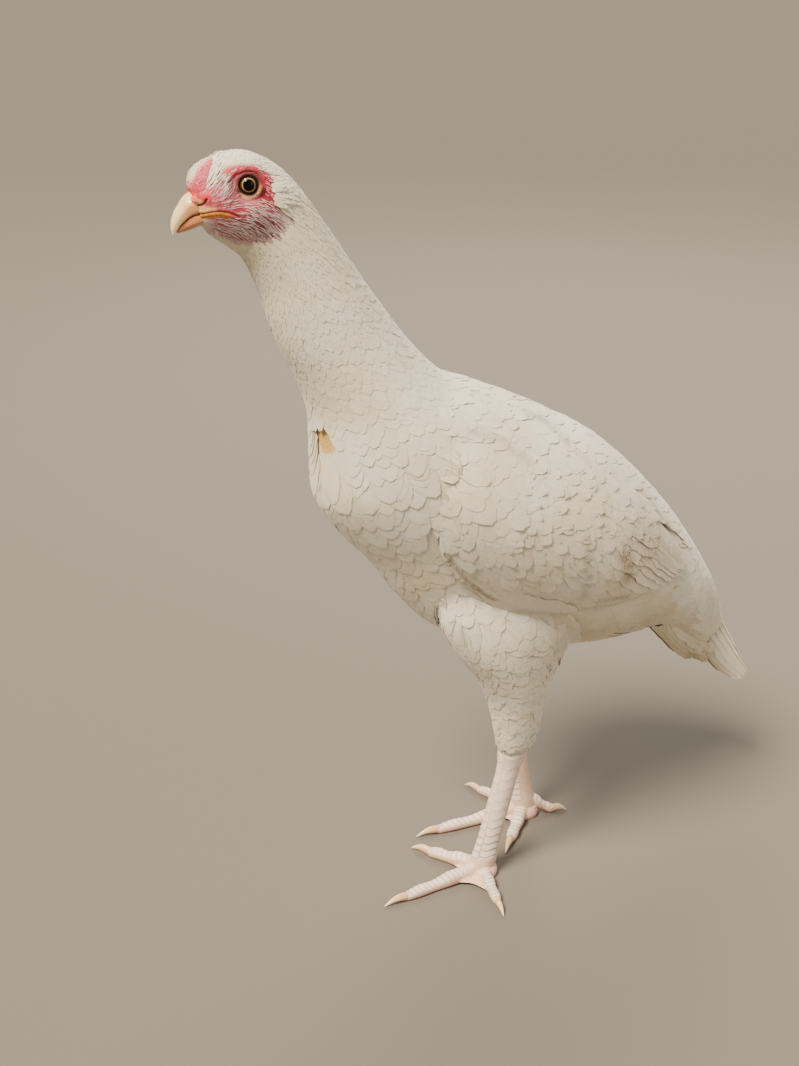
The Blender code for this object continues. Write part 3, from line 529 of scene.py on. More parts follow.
def build_vanes(name, left, middle, right, up, length, width, patch, finish, rows=7, columns=7,
                outline=ROUND_TIP, sink=2.2, lift=0.5, crown=0.7, bow=0.30, fringe=0.5,
                crumple=0.12, stain=0.0, even=0.6, seed=1):
    """Many vanes in one piece. left, middle, right and up run along a vane, then over the vanes.

    sink, lift, crown, fringe and crumple are millimetres. even says how far the shading
    follows the form under the vanes, as light that scatters through soft barbs does.
    """
    rng = np.random.default_rng(seed)
    steps, count = middle.shape[0] - 1, middle.shape[1]
    t = 1 - (1 - np.linspace(0, 1, rows + 1)) ** 1.35
    control = np.concatenate([left, middle, right, up], -1).reshape(steps + 1, -1)
    finer = smooth_rows(control, t * steps).reshape(rows + 1, 1, count, 12)
    left, middle, right, up = np.split(finer, 4, -1)
    along = unit(np.gradient(middle, axis=0))
    up = unit(up)
    wide = np.interp(t, *zip(*outline))[:, None, None]
    t = t[:, None, None]
    across = np.linspace(-1, 1, columns)[None, :, None]
    rough = 1 + 0.06 * rng.normal(size=(rows + 1, columns, count)) * (np.abs(across) > 0.99)
    y = across * wide * rough
    lift_each = lift * rng.uniform(0.4, 1.6, count)
    roll = rng.normal(0, 0.22, count) * crown
    wave = rng.uniform(0, 6.28, (3, count))
    ripple = (np.sin(9 * t + 5 * np.abs(y) + wave[0]) + np.sin(6 * y + 4 * t + wave[1])
              + np.sin(14 * y + wave[2]))
    height = (lift_each * t - sink * (1 - t) ** 1.3 - crown * y ** 2 * (0.3 + 0.7 * t) + roll * y
              + crumple * ripple * t)
    ragged = fringe * rng.uniform(-1, 1, (rows + 1, columns, count)) * t ** 6
    back = bow * width * y ** 2 * np.minimum(2 * t, 1) - ragged * MM
    y, height, back = y[..., None], height[..., None] * MM, back[..., None]
    points = left * (y * (y - 1) / 2) + middle * (1 - y * y) + right * (y * (y + 1) / 2)
    points = points + up * height - along * back
    under = (points - up * VANE_THICKNESS)[1:-1, 1:-1]
    every = np.concatenate([points.reshape(-1, count, 3), under.reshape(-1, count, 3)])
    faces, size = vane_faces(rows, columns)
    half = len(faces) // 2
    faces = (faces[None] + (np.arange(count) * size)[:, None, None]).reshape(-1, 4)
    made = mesh_piece(name, every.transpose(1, 0, 2).reshape(-1, 3), faces, finish)
    made.data.set_sharp_from_angle(angle=math.radians(100))
    out = np.broadcast_to(up, (rows + 1, columns, count, 3))
    out = np.concatenate([out.reshape(-1, count, 3), out[1:-1, 1:-1].reshape(-1, count, 3)])
    out = out.transpose(1, 0, 2).reshape(-1, 3)[faces.ravel()].reshape(count, 2, half, 4, 3)
    own = np.empty(faces.size * 3, np.float32)
    made.data.corner_normals.foreach_get("vector", own)
    own = own.reshape(count, 2, half, 4, 3)
    facing = np.sign(dot(own[:, :1], out[:, :1]).mean((1, 2, 3), keepdims=True))
    out = out * facing * np.array((1, -1))[None, :, None, None, None]
    made.data.normals_split_custom_set(unit(own * (1 - even) + out * even).reshape(-1, 3))

    def for_points(values):
        """Values of the top sheet, repeated on the underside, in the order of the points."""
        values = np.broadcast_to(values, (rows + 1, columns, count))
        both = np.concatenate([values.reshape(-1, count), values[1:-1, 1:-1].reshape(-1, count)])
        return both.T.ravel()

    u, v = for_points(y[..., 0] * width / 2 / CM), for_points(t * length / CM)
    patch_u = for_points(patch[:, 0] + 0.0015 * across)
    patch_v = for_points(patch[:, 1] + 0.003 * (t - 0.5))
    corner = faces.ravel()
    for layer, a, b in (("OFBake", patch_u, patch_v), ("vane", u, v)):
        uv = made.data.uv_layers.new(name=layer)
        uv.uv.foreach_set("vector", np.stack([a[corner], b[corner]], -1).astype(np.float32).ravel())
    # One number per point holds the vane's own stains and the painted shade and stains of the lines seen from
    # the side.
    dirt_and_shade = soil_and_shade(points.reshape(-1, 3)).reshape(rows + 1, columns, count)
    keep_numbers(made, "tone", for_points(rng.uniform(0, 1, count)))
    keep_numbers(made, "stain", for_points(np.clip(stain * (0.4 + 0.6 * t) + dirt_and_shade, 0, 1)))
    return made


def grow_vanes(name, root, way, length, width, surface, finish, home=form_surface, **shape):
    """Vanes that lie on a surface, from their roots on, each along its own way."""
    steps = 5
    at, up, _ = surface.nearest(root)
    patch = home.patches_at(root)
    lefts, middles, rights, ups = [], [], [], []
    for k in range(steps + 1):
        if k:
            at, up, _ = surface.nearest(at + way * (length / steps)[:, None])
        way = unit(way - up * dot(way, up))
        side = np.cross(up, way) * (width / 2)[:, None]
        edges = [surface.nearest(at + side * s)[0] for s in (-1, 1)]
        lefts.append(edges[0])
        middles.append(at)
        rights.append(edges[1])
        ups.append(up)
    paths = [np.array(p) for p in (lefts, middles, rights, ups)]
    return build_vanes(name, *paths, length, width, patch, finish, **shape)


print("points of one vane:", vane_faces(7, 7)[1])

# %% [markdown]
# ## White feather
# Keratin without pigment, folded into thousands of fine barbs: it scatters light so well
# that it looks white and soft, with no clear gloss. The barbs show as fine streaks that
# run out from the shaft. Real barbs lie 0.4 mm apart, too fine to show from a metre, so
# they are drawn in streaks about 1 mm wide. Old feathers are creamy, and dust and wear
# turn brown the ones that rub on the ground or on the body. The same brown mix is also
# painted shade, where the coat lies in shade.

# %% White feather material
FEATHER_LOOK = {
    "Roughness": 0.72, "IOR": 1.55, "Specular IOR Level": 0.25, "Sheen Weight": 0.15,
    "Sheen Roughness": 0.4, "Subsurface Weight": 0.25, "Subsurface Radius": (1.0, 0.85, 0.65),
    "Subsurface Scale": 0.002,
}


def feather_finish(name, clean, warm, stain_shade_colour, strength=0.35):
    made, tree, shader = new_material(name, FEATHER_LOOK)
    tone = add_node(tree, "ShaderNodeAttribute", attribute_name="tone").outputs["Fac"]
    stain = add_node(tree, "ShaderNodeAttribute", attribute_name="stain").outputs["Fac"]
    where = add_node(tree, "ShaderNodeUVMap", uv_map="vane").outputs["UV"]
    parts = add_node(tree, "ShaderNodeSeparateXYZ", {0: where})
    out = add_node(tree, "ShaderNodeMath", {0: parts.outputs["X"]}, operation="ABSOLUTE").outputs[0]
    slant = add_node(tree, "ShaderNodeMath", {0: out, 1: -0.9, 2: parts.outputs["Y"]},
                     operation="MULTIPLY_ADD")
    streak_at = add_node(tree, "ShaderNodeCombineXYZ", {"X": slant.outputs[0], "Y": out, "Z": tone})
    stretched = add_node(tree, "ShaderNodeVectorMath", {0: streak_at.outputs[0], 1: (10.0, 1.2, 7.0)},
                         operation="MULTIPLY")
    streaks = add_node(tree, "ShaderNodeTexNoise", {
        "Vector": stretched.outputs[0], "Scale": 1.0, "Detail": 3.0})
    cloud = add_node(tree, "ShaderNodeTexNoise", {
        "Vector": add_node(tree, "ShaderNodeNewGeometry").outputs["Position"], "Scale": 22.0, "Detail": 3.0})
    warmth = add_node(tree, "ShaderNodeMapRange", {
        "Value": cloud.outputs["Fac"], "From Min": 0.40, "From Max": 0.68, "To Max": 0.75})
    mixed = add_node(tree, "ShaderNodeMath", {0: tone, 1: 0.18, 2: warmth.outputs[0]},
                     operation="MULTIPLY_ADD")
    base = add_node(tree, "ShaderNodeMix", {
        "Factor": mixed.outputs[0], "A": colour(clean), "B": colour(warm)}, data_type="RGBA")
    # The brown mix is laid by the number kept on each vane, which holds stains and painted shade.
    stain_shade_streaks = add_node(tree, "ShaderNodeMath", {0: stain, 1: streaks.outputs["Fac"]}, operation="MULTIPLY")
    stain_shade_amount = add_node(tree, "ShaderNodeMath", {0: stain_shade_streaks.outputs[0], 1: 1.5}, operation="MULTIPLY",
                     use_clamp=True)
    stained_and_shaded = add_node(tree, "ShaderNodeMix", {
        "Factor": stain_shade_amount.outputs[0], "A": base.outputs["Result"], "B": colour(stain_shade_colour)}, data_type="RGBA")
    tree.links.new(stained_and_shaded.outputs["Result"], shader.inputs["Base Color"])
    bump = add_node(tree, "ShaderNodeBump", {
        "Height": streaks.outputs["Fac"], "Strength": strength, "Distance": 0.0004})
    tree.links.new(bump.outputs["Normal"], shader.inputs["Normal"])
    return made


white_feather = feather_finish("white_contour_feather", "#F7EFDA", "#EFE0BC", "#8F7250")
stiff_feather = feather_finish("white_flight_feather", "#F5ECD6", "#EADBB6", "#80603E")
soft_down = feather_finish("cream_down", "#F0E6CE", "#E2D0A8", "#A88C66", strength=0.5)
pale_bristle = feather_finish("pale_face_bristle", "#F2E0D8", "#DDBDB4", "#A88C66", strength=0.2)
print("feather finishes:", white_feather.name, stiff_feather.name, soft_down.name, pale_bristle.name)

# %% [markdown]
# ## Rows of body feathers
# Contour feathers grow in rows that lie like roof tiles, each row shifted by half a
# feather. They are smallest behind the face, long and narrow on the neck, broad and
# rounded on the shoulder and breast. The rows follow the body's stations, so every
# feather points away from the bill, as on the living bird.

# %% Body feather rows
rng = np.random.default_rng(7)
# Station along the body, then millimetres: space between feathers, length and width.
FEATHER_SIZES = (
    (4.6, 1.7, 6.0, 1.8),
    (6.0, 1.9, 8.5, 2.2),
    (7.5, 2.2, 12.5, 3.0),
    (9.0, 3.2, 20.0, 6.0),
    (10.5, 5.0, 27.0, 11.5),
    (12.0, 7.4, 33.0, 18.0),
    (14.0, 10.0, 36.0, 22.0),
    (18.0, 10.5, 34.0, 20.0),
    (21.0, 9.5, 30.0, 17.0),
    (24.0, 8.0, 26.0, 13.0),
)


def size_at(table, station, column):
    """A size in metres, from a table of millimetres whose first column is the station."""
    table = np.asarray(table)
    return np.interp(station, table[:, 0], table[:, column]) * MM


def rows_of_roots(point, first, last, sizes, overlap=0.85, around=48):
    """Stations and turns of roots in rows over a form. Each row is shifted by half a space."""
    station, found, odd = first, [], 0
    while station < last:
        ring = point(station, turns(around))
        ahead = np.linalg.norm(point(station + 0.05, turns(around)) - ring, axis=-1).mean() / 0.05
        space = size_at(sizes, station, 1)
        count = max(8, int(np.linalg.norm(ring - np.roll(ring, 1, 0), axis=-1).sum() / space))
        turn = (np.arange(count) + 0.5 * odd) * 2 * np.pi / count
        found.append(np.stack([np.full(count, station), turn], -1))
        station += overlap * space / ahead
        odd = 1 - odd
    return np.concatenate(found).T


def ways_on(point, station, turn):
    """Places on a form, and the ways along it and around it there."""
    root = point(station, turn)
    return root, unit(point(station + 0.03, turn) - root), unit(point(station, turn + 0.01) - root)


station, turn = rows_of_roots(body_point, 4.7, 23.8, FEATHER_SIZES)
turn = turn + rng.normal(0, 0.14, len(turn)) * size_at(FEATHER_SIZES, station, 1) / 0.05
station = station + rng.normal(0, 0.03, len(station))
print("body feathers:", len(station))

# %% [markdown]
# ## Folded wing
# The folded wing is a flat, slightly domed fan that lies on the flank. Its ribs give the
# upper and the lower edge, and how far the wing stands out from the body between them.
# Places on it are given by two numbers: along, from the bend to the tip, and across,
# from the lower edge at -1 to the upper edge at 1.

# %% Wing surface
# Ribs from the bend to the tip: upper edge (forward, up), lower edge (forward, up), and how
# far the middle stands out from the body, in centimetres.
WING = (
    (7.80, 34.80, 8.50, 30.20, 0.35),
    (5.40, 35.30, 7.70, 27.40, 0.85),
    (1.80, 34.30, 5.80, 25.00, 1.10),
    (-1.80, 32.70, 3.00, 23.30, 1.15),
    (-5.20, 30.60, -0.50, 22.40, 1.05),
    (-8.30, 28.10, -4.50, 21.80, 0.90),
    (-10.80, 25.50, -8.50, 21.30, 0.70),
    (-12.40, 23.40, -11.60, 21.20, 0.45),
)
WING_EDGE = 0.16  # cm that the wing's rim stands out from the body


class Wing:
    """Places on one folded wing. side is 1 on the left."""

    def __init__(self, side):
        self.side, ribs = side, []
        for up_f, up_u, low_f, low_u, out in WING:
            middle = ((up_f + low_f) / 2, (up_u + low_u) / 2, out)
            spots = ((low_f, low_u, WING_EDGE), middle, (up_f, up_u, WING_EDGE))
            lefts = [self.body_left(f, u) + more for f, u, more in spots]
            ribs.append([up_f, up_u, low_f, low_u] + lefts)
        self.ribs = np.array(ribs)

    def body_left(self, forward, up):
        """How far the body reaches sideways at a place seen from the side, in centimetres."""
        outside = Vector(place(forward, 30 * self.side, up))
        hit = form_surface.tree.ray_cast(outside, Vector((0, self.side, 0)))[0]
        return abs(hit.y) / CM

    def base(self, along, across):
        """A place on the wing's face."""
        row = smooth_rows(self.ribs, np.asarray(along) * (len(WING) - 1))
        t = (across + 1) / 2
        left = (row[..., 4] * (1 - t) * (1 - 2 * t) + 4 * row[..., 5] * t * (1 - t)
                + row[..., 6] * t * (2 * t - 1))
        forward, up = (row[..., k + 2] + (row[..., k] - row[..., k + 2]) * t for k in (0, 1))
        return place(forward, left * self.side, up)

    def ways(self, along, across):
        """Directions on the wing: towards the tip, and out of its face."""
        h = 0.02
        ahead = self.base(along + h, across) - self.base(along - h, across)
        over = self.base(along, across + h) - self.base(along, across - h)
        out = unit(np.cross(ahead, over))
        return unit(ahead), out * np.sign(-out[..., 1:2] * self.side)

    def point(self, along, across, lift):
        """A place on the wing, lifted off its face by centimetres."""
        along, across, lift = np.broadcast_arrays(along, across, lift)
        return self.base(along, across) + self.ways(along, across)[1] * lift[..., None] * CM

    def face(self):
        """The wing's outer face as an open sheet."""
        grid = self.point(np.linspace(0, 1, 50)[:, None], np.linspace(-1, 1, 30)[None], 0.0)
        faces = grid_faces(*grid.shape[:2], False)
        return mesh_piece("wing_face", grid, faces if self.side < 0 else faces[:, ::-1])

    def body(self):
        """The flesh and bone of the wing, under its feathers."""
        rings = []
        for along in np.linspace(0.02, 0.78, 40):
            across = np.linspace(-0.95, 0.95, 24) * (1 - 0.5 * max(0, along - 0.45) / 0.33)
            rim = np.sqrt(np.maximum(1 - np.abs(across) ** 4, 0)) * min(1, 8 * along)
            outer, inner = (self.point(along, across, lift) for lift in (-0.24, -0.30 - 0.9 * rim))
            rings.append(np.concatenate([outer, inner[::-1]]))
        return tube("wing_body", np.array(rings))


wings = {side: Wing(side) for side, _ in SIDES}
wing_faces = {side: wings[side].face() for side in wings}
wing_line = wings[1].base(np.linspace(0, 1, 50), 0.0)
print("folded wing, cm:", round(np.linalg.norm(np.diff(wing_line, axis=0), axis=-1).sum() / CM, 1))

# %% [markdown]
# ## Body feathers
# Breast and belly feathers pass under the wing's edge. The cape at the root of the neck
# is different: its broad feathers lie over the bend of the wing, so they follow a surface
# that has the wing in it. What a wing or a thigh hides is left out, as nobody sees it.

# %% What the wings hide
wing_only = {side: Surface(wing_faces[side]) for side in wings}


def under_wing(places, out):
    """Whether a wing lies over each place."""
    hidden = []
    for p, o in zip(places, out):
        tree = wing_only[1 if p[1] < 0 else -1].tree
        hidden.append(tree.ray_cast(Vector(p) - Vector(o) * 0.004, Vector(o), 0.05)[0] is not None)
    return np.array(hidden)


# The cape climbs over the wing's front edge, so its surface lacks what lies under the wings.
middles = np.array([face.center for face in form.data.polygons])
facing = np.array([face.normal for face in form.data.polygons])
covered = np.nonzero(under_wing(middles, facing))[0].tolist()
with_wings = Surface(form, wing_faces[1], wing_faces[-1], without=covered)
print("faces of the form under the wings:", len(covered))

# %% [markdown]
# ## Bare places
# This breed's face is bare round the eye and over the jaw, and its crop shows a small
# patch of yellow skin where the feathers part. A feather is left out wherever any part
# of it would cover the patch. On the face fewer and fewer feathers grow towards the bare
# skin, as a hard edge would look like a mask.

# %% Bare places
root, ahead, around = ways_on(body_point, station, turn)
outward = unit(np.cross(around, ahead))
outward *= np.sign(dot(outward, root - body_point(station, turn + np.pi)))
depth = form_surface.inside(root)
length = size_at(FEATHER_SIZES, station, 2) * rng.uniform(0.9, 1.12, len(station))
width = size_at(FEATHER_SIZES, station, 3) * rng.uniform(0.9, 1.1, len(station))
root_hidden = under_wing(root, outward)
tip_hidden = under_wing(root + ahead * length[:, None], outward)
keep = (depth < 0.009) & ~(root_hidden & tip_hidden)
up_cm = root[:, 2] / CM
table_f = MIDDLE_FORWARD - root[:, 0] / CM
back_half = np.cos(turn) > 0.25
cape = keep & ~root_hidden & ((up_cm > 31.2) | back_half)
BARE_CROP = (13.97, 1.2, 34.83)  # the bare patch's middle: forward, left and up
bare_at = form_surface.nearest(place(*BARE_CROP)[None])[0]
for share in np.linspace(0, 1, 7):
    away = np.linalg.norm((root + ahead * (length * share)[:, None] - bare_at) * (0.9, 0.9, 1.7), axis=1)
    keep &= away > 0.0052 + 0.42 * width


def zone(forward, up, centre, reach, soft=0.35):
    """1 inside an ellipse seen from the side and 0 outside it, with a soft edge."""
    far = np.hypot((forward - centre[0]) / reach[0], (up - centre[1]) / reach[1])
    return step_between(1 + soft, 1 - soft, far)


def bare_face(f, u):
    """Where the face has no feathers, only bristles. 1 is bare."""
    bare = zone(f, u, (18.5, 50.15), (1.95, 1.12), 0.12)  # round the eye
    bare = np.maximum(bare, zone(f, u, (18.05, 48.40), (2.2, 1.25), 0.22))  # cheek
    bare = np.maximum(bare, zone(f, u, (19.7, 49.4), (1.2, 1.1), 0.15))  # between eye and bill
    return bare * (1 - zone(f, u, (16.25, 49.62), (0.62, 0.62), 0.2))


keep &= (bare_face(table_f, up_cm) < rng.uniform(0.15, 0.9, len(station))) | (station > 7.6)
cape &= keep
print("kept", keep.sum(), "cape", cape.sum())

# %% [markdown]
# ## Lay the body feathers
# Each part of the coat has its own kind of feather: hair-like on the nape, long and
# narrow on the neck, broad shields on cape and breast, loose down on the belly. They lie
# so close that the shading mostly follows the body under them, and only a low ridge
# shows each edge.

# %% Lay the body feathers
# Near the thigh the feathers turn down along the leg.
leg_way = np.array([0.10, 0.0, -1.0])
near_leg = step_between(24.0, 19.5, up_cm) * (np.abs(table_f - 1.8) < 6.5) * (np.abs(root[:, 1]) / CM > 1.5)
ahead = unit(ahead * (1 - 0.75 * near_leg[:, None]) + leg_way * 0.75 * near_leg[:, None])
ahead = unit(ahead + around * rng.normal(0, 0.10, len(station))[:, None])
GROUPS = {
    "nape_feathers": keep & (station < 8.6),
    "neck_feathers": keep & (station >= 8.6) & (station < 11.2),
    "cape_feathers": keep & (station >= 11.2) & (station < 14.5),
    "back_feathers": keep & (station >= 14.5) & back_half,
    "breast_feathers": keep & (station >= 14.5) & ~back_half & (table_f > 2),
    "belly_feathers": keep & (station >= 14.5) & ~back_half & (table_f <= 2),
}
# Rows and columns of points, then sink, lift and crown in millimetres, and the outline.
LAY = {
    "nape_feathers": (4, 3, 0.8, 0.12, 0.10, NARROW_TIP),
    "neck_feathers": (6, 5, 1.3, 0.14, 0.20, LONG_TIP),
    "cape_feathers": (8, 7, 2.0, 0.45, 0.40, ROUND_TIP),
    "back_feathers": (7, 7, 2.2, 0.20, 0.35, ROUND_TIP),
    "breast_feathers": (7, 7, 2.2, 0.16, 0.40, ROUND_TIP),
    "belly_feathers": (7, 7, 2.2, 0.20, 0.40, ROUND_TIP),
}
coat = []
for number, (name, chosen) in enumerate(GROUPS.items()):
    for part, picked in (("", chosen & ~cape), ("_over", chosen & cape)):
        if not picked.any():
            continue
        rows, columns, sink, lift, crown, outline = LAY[name]
        stain = step_between(24, 18, up_cm[picked]) * 0.25 + rng.normal(0, 0.05, picked.sum())
        piece = grow_vanes(
            name + part, root[picked], ahead[picked], length[picked], width[picked],
            with_wings if part else form_surface,
            soft_down if name == "belly_feathers" else white_feather,
            rows=rows, columns=columns, sink=sink, lift=lift, crown=crown, outline=outline,
            fringe=0.35, crumple=0.06, even=0.94, stain=np.clip(stain, 0, 1), seed=20 + number)
        coat.append(piece)
        print(piece.name, len(piece.data.polygons) * 2)

# %% [markdown]
# ## Thigh feathers
# The thigh wears the same short coat down to the hock, where it stops in an even edge
# round the top of the scaly shank. The rows run down the leg.

# %% Thigh feathers
# Station down the thigh, then millimetres: space between feathers, length and width.
THIGH_SIZES = ((0, 9.0, 30, 17), (3, 6.5, 22, 12), (7, 3.6, 10, 6))
HOCK_EDGE = 9.9  # cm over the floor, where the coat ends
for side, word in SIDES:
    station, turn = rows_of_roots(
        lambda at, turn: thigh_point(side, at, turn), 0.6, 6.75, THIGH_SIZES, around=40)
    turn = turn + rng.normal(0, 0.05, len(turn))
    root = thigh_point(side, station, turn)
    ahead = unit(thigh_point(side, station + 0.03, turn) - root + rng.normal(0, 0.0002, root.shape))
    up_cm = root[:, 2] / CM
    backward = step_between(12, 20, up_cm)[:, None] * np.array([0.35, 0, 0])
    ahead = unit(ahead + backward)
    keep = form_surface.inside(root) < 0.0035
    length = size_at(THIGH_SIZES, station, 2) * rng.uniform(0.9, 1.1, len(station))
    length = np.minimum(length, (up_cm - HOCK_EDGE) * CM)[keep]
    width = size_at(THIGH_SIZES, station, 3)[keep]
    coat.append(grow_vanes(
        f"thigh_feathers_{word}", root[keep], ahead[keep], length, width, form_surface,
        white_feather, lift=0.20, crown=0.35, sink=1.8, fringe=0.35, even=0.92, seed=40 + side,
        stain=np.clip(step_between(16, 10, up_cm[keep]) * 0.3, 0, 1)))
    print(word, "thigh feathers", keep.sum())

# %% [markdown]
# ## Flight feathers of the wing
# The stiff feathers of the folded wing lie in a fan under rows of coverts. Each tier
# is laid from the uppermost feather down, and each lower edge stands over the next one.
# Long vanes have more rows of points than body feathers, so that they bend evenly.

# %% Flight feathers
# Tier: count, roots (along, across) from the uppermost feather down, tips, first and last
# half width in centimetres, and lift off the wing in centimetres.
FLIGHT_TIERS = {
    "primaries": (6, ((0.56, -0.10), (0.46, -0.55)), ((0.90, -0.06), (0.74, -0.86)), 0.75, 0.70, -0.10),
    "secondaries": (
        13, ((0.44, 0.92), (0.48, 0.70), (0.46, 0.44), (0.36, 0.22), (0.24, 0.02)),
        ((0.92, 0.26), (0.90, 0.02), (0.84, -0.36), (0.71, -0.82), (0.51, -1.02)), 1.10, 0.92, -0.02),
    "great_coverts": (
        12, ((0.32, 0.90), (0.36, 0.66), (0.33, 0.40), (0.25, 0.20), (0.13, 0.02)),
        ((0.74, 0.56), (0.72, 0.10), (0.63, -0.34), (0.51, -0.66), (0.35, -0.86)), 1.05, 0.82, 0.02),
    "edge_feathers": (2, ((0.33, -0.88), (0.31, -0.95)), ((0.60, -0.93), (0.54, -1.03)), 0.72, 0.64, 0.22),
}
LEAN = 0.10  # cm by which each feather's lower edge stands over the next one


def flight_paths(wing, tier):
    """The edges, middles and ways up of a tier's feathers, with their lengths and widths."""
    count, root_line, tip_line, wide_a, wide_b, lift = FLIGHT_TIERS[tier]
    steps = 9
    k = np.linspace(0, 1, count)
    s = np.linspace(0, 1, steps)[:, None, None]
    starts, ends = (smooth_rows(line, k * (len(line) - 1)) for line in (root_line, tip_line))
    along, across = np.moveaxis(starts + (ends - starts) * s, -1, 0)
    across = across + 0.06 * np.sin(s[..., 0] * np.pi) * (1 - k)
    half = np.repeat(between((wide_a, wide_b), k)[None], steps, 0)
    middle = wing.point(along, across, lift)
    ahead = unit(np.gradient(middle, axis=0))
    up = wing.ways(along, across)[1]
    side = unit(np.cross(up, ahead))
    side *= np.sign(dot(side, np.gradient(middle, axis=1)))  # towards the next feather
    side = unit(side + up * LEAN / (2 * half[..., None]))
    up = unit(up - side * dot(up, side))
    reach = side * half[..., None] * CM
    lengths = np.linalg.norm(np.diff(middle, axis=0), axis=-1).sum(0)
    reach = reach * np.sign(dot(np.cross(ahead, reach), up))
    return middle - reach, middle, middle + reach, up, lengths, half[0] * 2 * CM


def lay_flight_feathers(side, word):
    """All tiers of stiff feathers on one wing."""
    for number, tier in enumerate(FLIGHT_TIERS):
        left, middle, right, up, lengths, widths = flight_paths(wings[side], tier)
        patch = form_surface.patches_at(middle[0])
        coat.append(build_vanes(
            f"{tier}_{word}", left, middle, right, up, lengths, widths, patch, stiff_feather,
            rows=22, columns=11, outline=LONG_TIP, sink=1.5, lift=0.4, crown=0.7, bow=0.18,
            fringe=0.6, crumple=0.14, even=0.80, stain=0.08, seed=60 + number))


print("flight feathers of a wing:", sum(tier[0] for tier in FLIGHT_TIERS.values()))

# %% [markdown]
# ## Small coverts
# Small round feathers cover the front of the folded wing in rows and hide the roots of
# the stiff ones. At the shoulder they are larger and lie flat. Further back they stand
# up more, because the wind and the bird's own moves ruffle them there.

# %% Small coverts
COVERT_LOOKS = {
    "shoulder_coverts": dict(lift=0.25, crown=0.5, crumple=0.08, even=0.92),
    "small_coverts": dict(lift=1.0, crown=1.3, crumple=0.28, even=0.74),
}
# Share along the wing, then millimetres: space between feathers, length and width.
COVERT_SIZES = ((0, 6.5, 17, 11), (0.6, 9.5, 27, 16))
for side, word in SIDES:
    lay_flight_feathers(side, word)
    wing = wings[side]
    along, found, odd = 0.015, [], 0
    while along < 0.72:
        space = size_at(COVERT_SIZES, along, 1)
        rib = wing.base(along, np.linspace(-1, 1, 30))
        count = int(np.linalg.norm(np.diff(rib, axis=0), axis=-1).sum() / space)
        across = -0.97 + 1.94 * (np.arange(count) + 0.25 + 0.5 * odd) / count
        found.append(np.stack([np.full(count, along), across], -1))
        stretch = np.linalg.norm(wing.base(along + 0.01, 0.0) - wing.base(along, 0.0)) / 0.01
        along += 0.80 * space / stretch
        odd = 1 - odd
    found = np.concatenate(found) + rng.normal(0, 1, (sum(map(len, found)), 2)) * (0.006, 0.02)
    found = found[found[:, 0] < 0.56 + 0.10 * found[:, 1]]
    along, across = found[:, 0], np.clip(found[:, 1], -0.98, 0.98)
    shoulder = (along < 0.20) & (across > -0.35)
    root = wing.base(along, across)
    ahead, out = wing.ways(along, across)
    over = np.cross(out, ahead) * side
    ahead = unit(ahead + over * (rng.normal(0, 0.18, len(along)) - 0.28 * (1 - across))[:, None])
    length = size_at(COVERT_SIZES, along, 2) * rng.uniform(0.85, 1.1, len(along))
    width = size_at(COVERT_SIZES, along, 3)
    grown = 1 + 0.35 * np.maximum(step_between(-0.1, -0.8, across), shoulder)
    length, width = length * grown, width * grown
    stain = 0.10 * step_between(0.2, -0.8, across) + rng.normal(0.02, 0.06, len(along))
    root = root + out * 0.0018 * ~shoulder[:, None]
    for (name, look), chosen in zip(COVERT_LOOKS.items(), (shoulder, ~shoulder)):
        coat.append(grow_vanes(
            f"{name}_{word}", root[chosen], ahead[chosen], length[chosen], width[chosen],
            wing_only[side], white_feather, sink=1.0, bow=0.25, fringe=0.4, seed=70 + side,
            stain=np.clip(stain, 0, 1)[chosen], **look))
    print(word, "coverts", len(along))

# %% [markdown]
# ## Tail
# Eight stiff feathers on each side make the tail, held low and nearly shut, bent
# round one long ellipse so that they nest in each other. Two tiers of softer feathers
# hide their roots from below. The next step covers the roots from above.

# %% Tail feathers
# Tier: feathers of one side, root (forward, up), slope below level in degrees, first and
# last length, first and last place round the ellipse in degrees from the top, half depth
# and half width at the roots and at the tips, and half of a feather's width.
TAIL_TIERS = {
    "main": (8, (-14.81, 17.9), 55.0, (10.0, 8.8), (12, 158), (1.70, 0.98), (1.25, 0.90), 0.66),
    "under": (7, (-13.4, 16.9), 49.0, (5.2, 5.4), (62, 150), (1.00, 1.12), (1.20, 1.20), 0.80),
    "under_short": (6, (-12.4, 16.9), 45.0, (4.4, 4.8), (70, 150), (1.10, 1.15), (1.55, 1.50), 0.85),
}


def sloping(degrees):
    """The way backward and down at an angle below level, and the way straight out over it."""
    slope = math.radians(degrees)
    return np.array((math.cos(slope), 0, -math.sin(slope))), np.array((math.sin(slope), 0, math.cos(slope)))


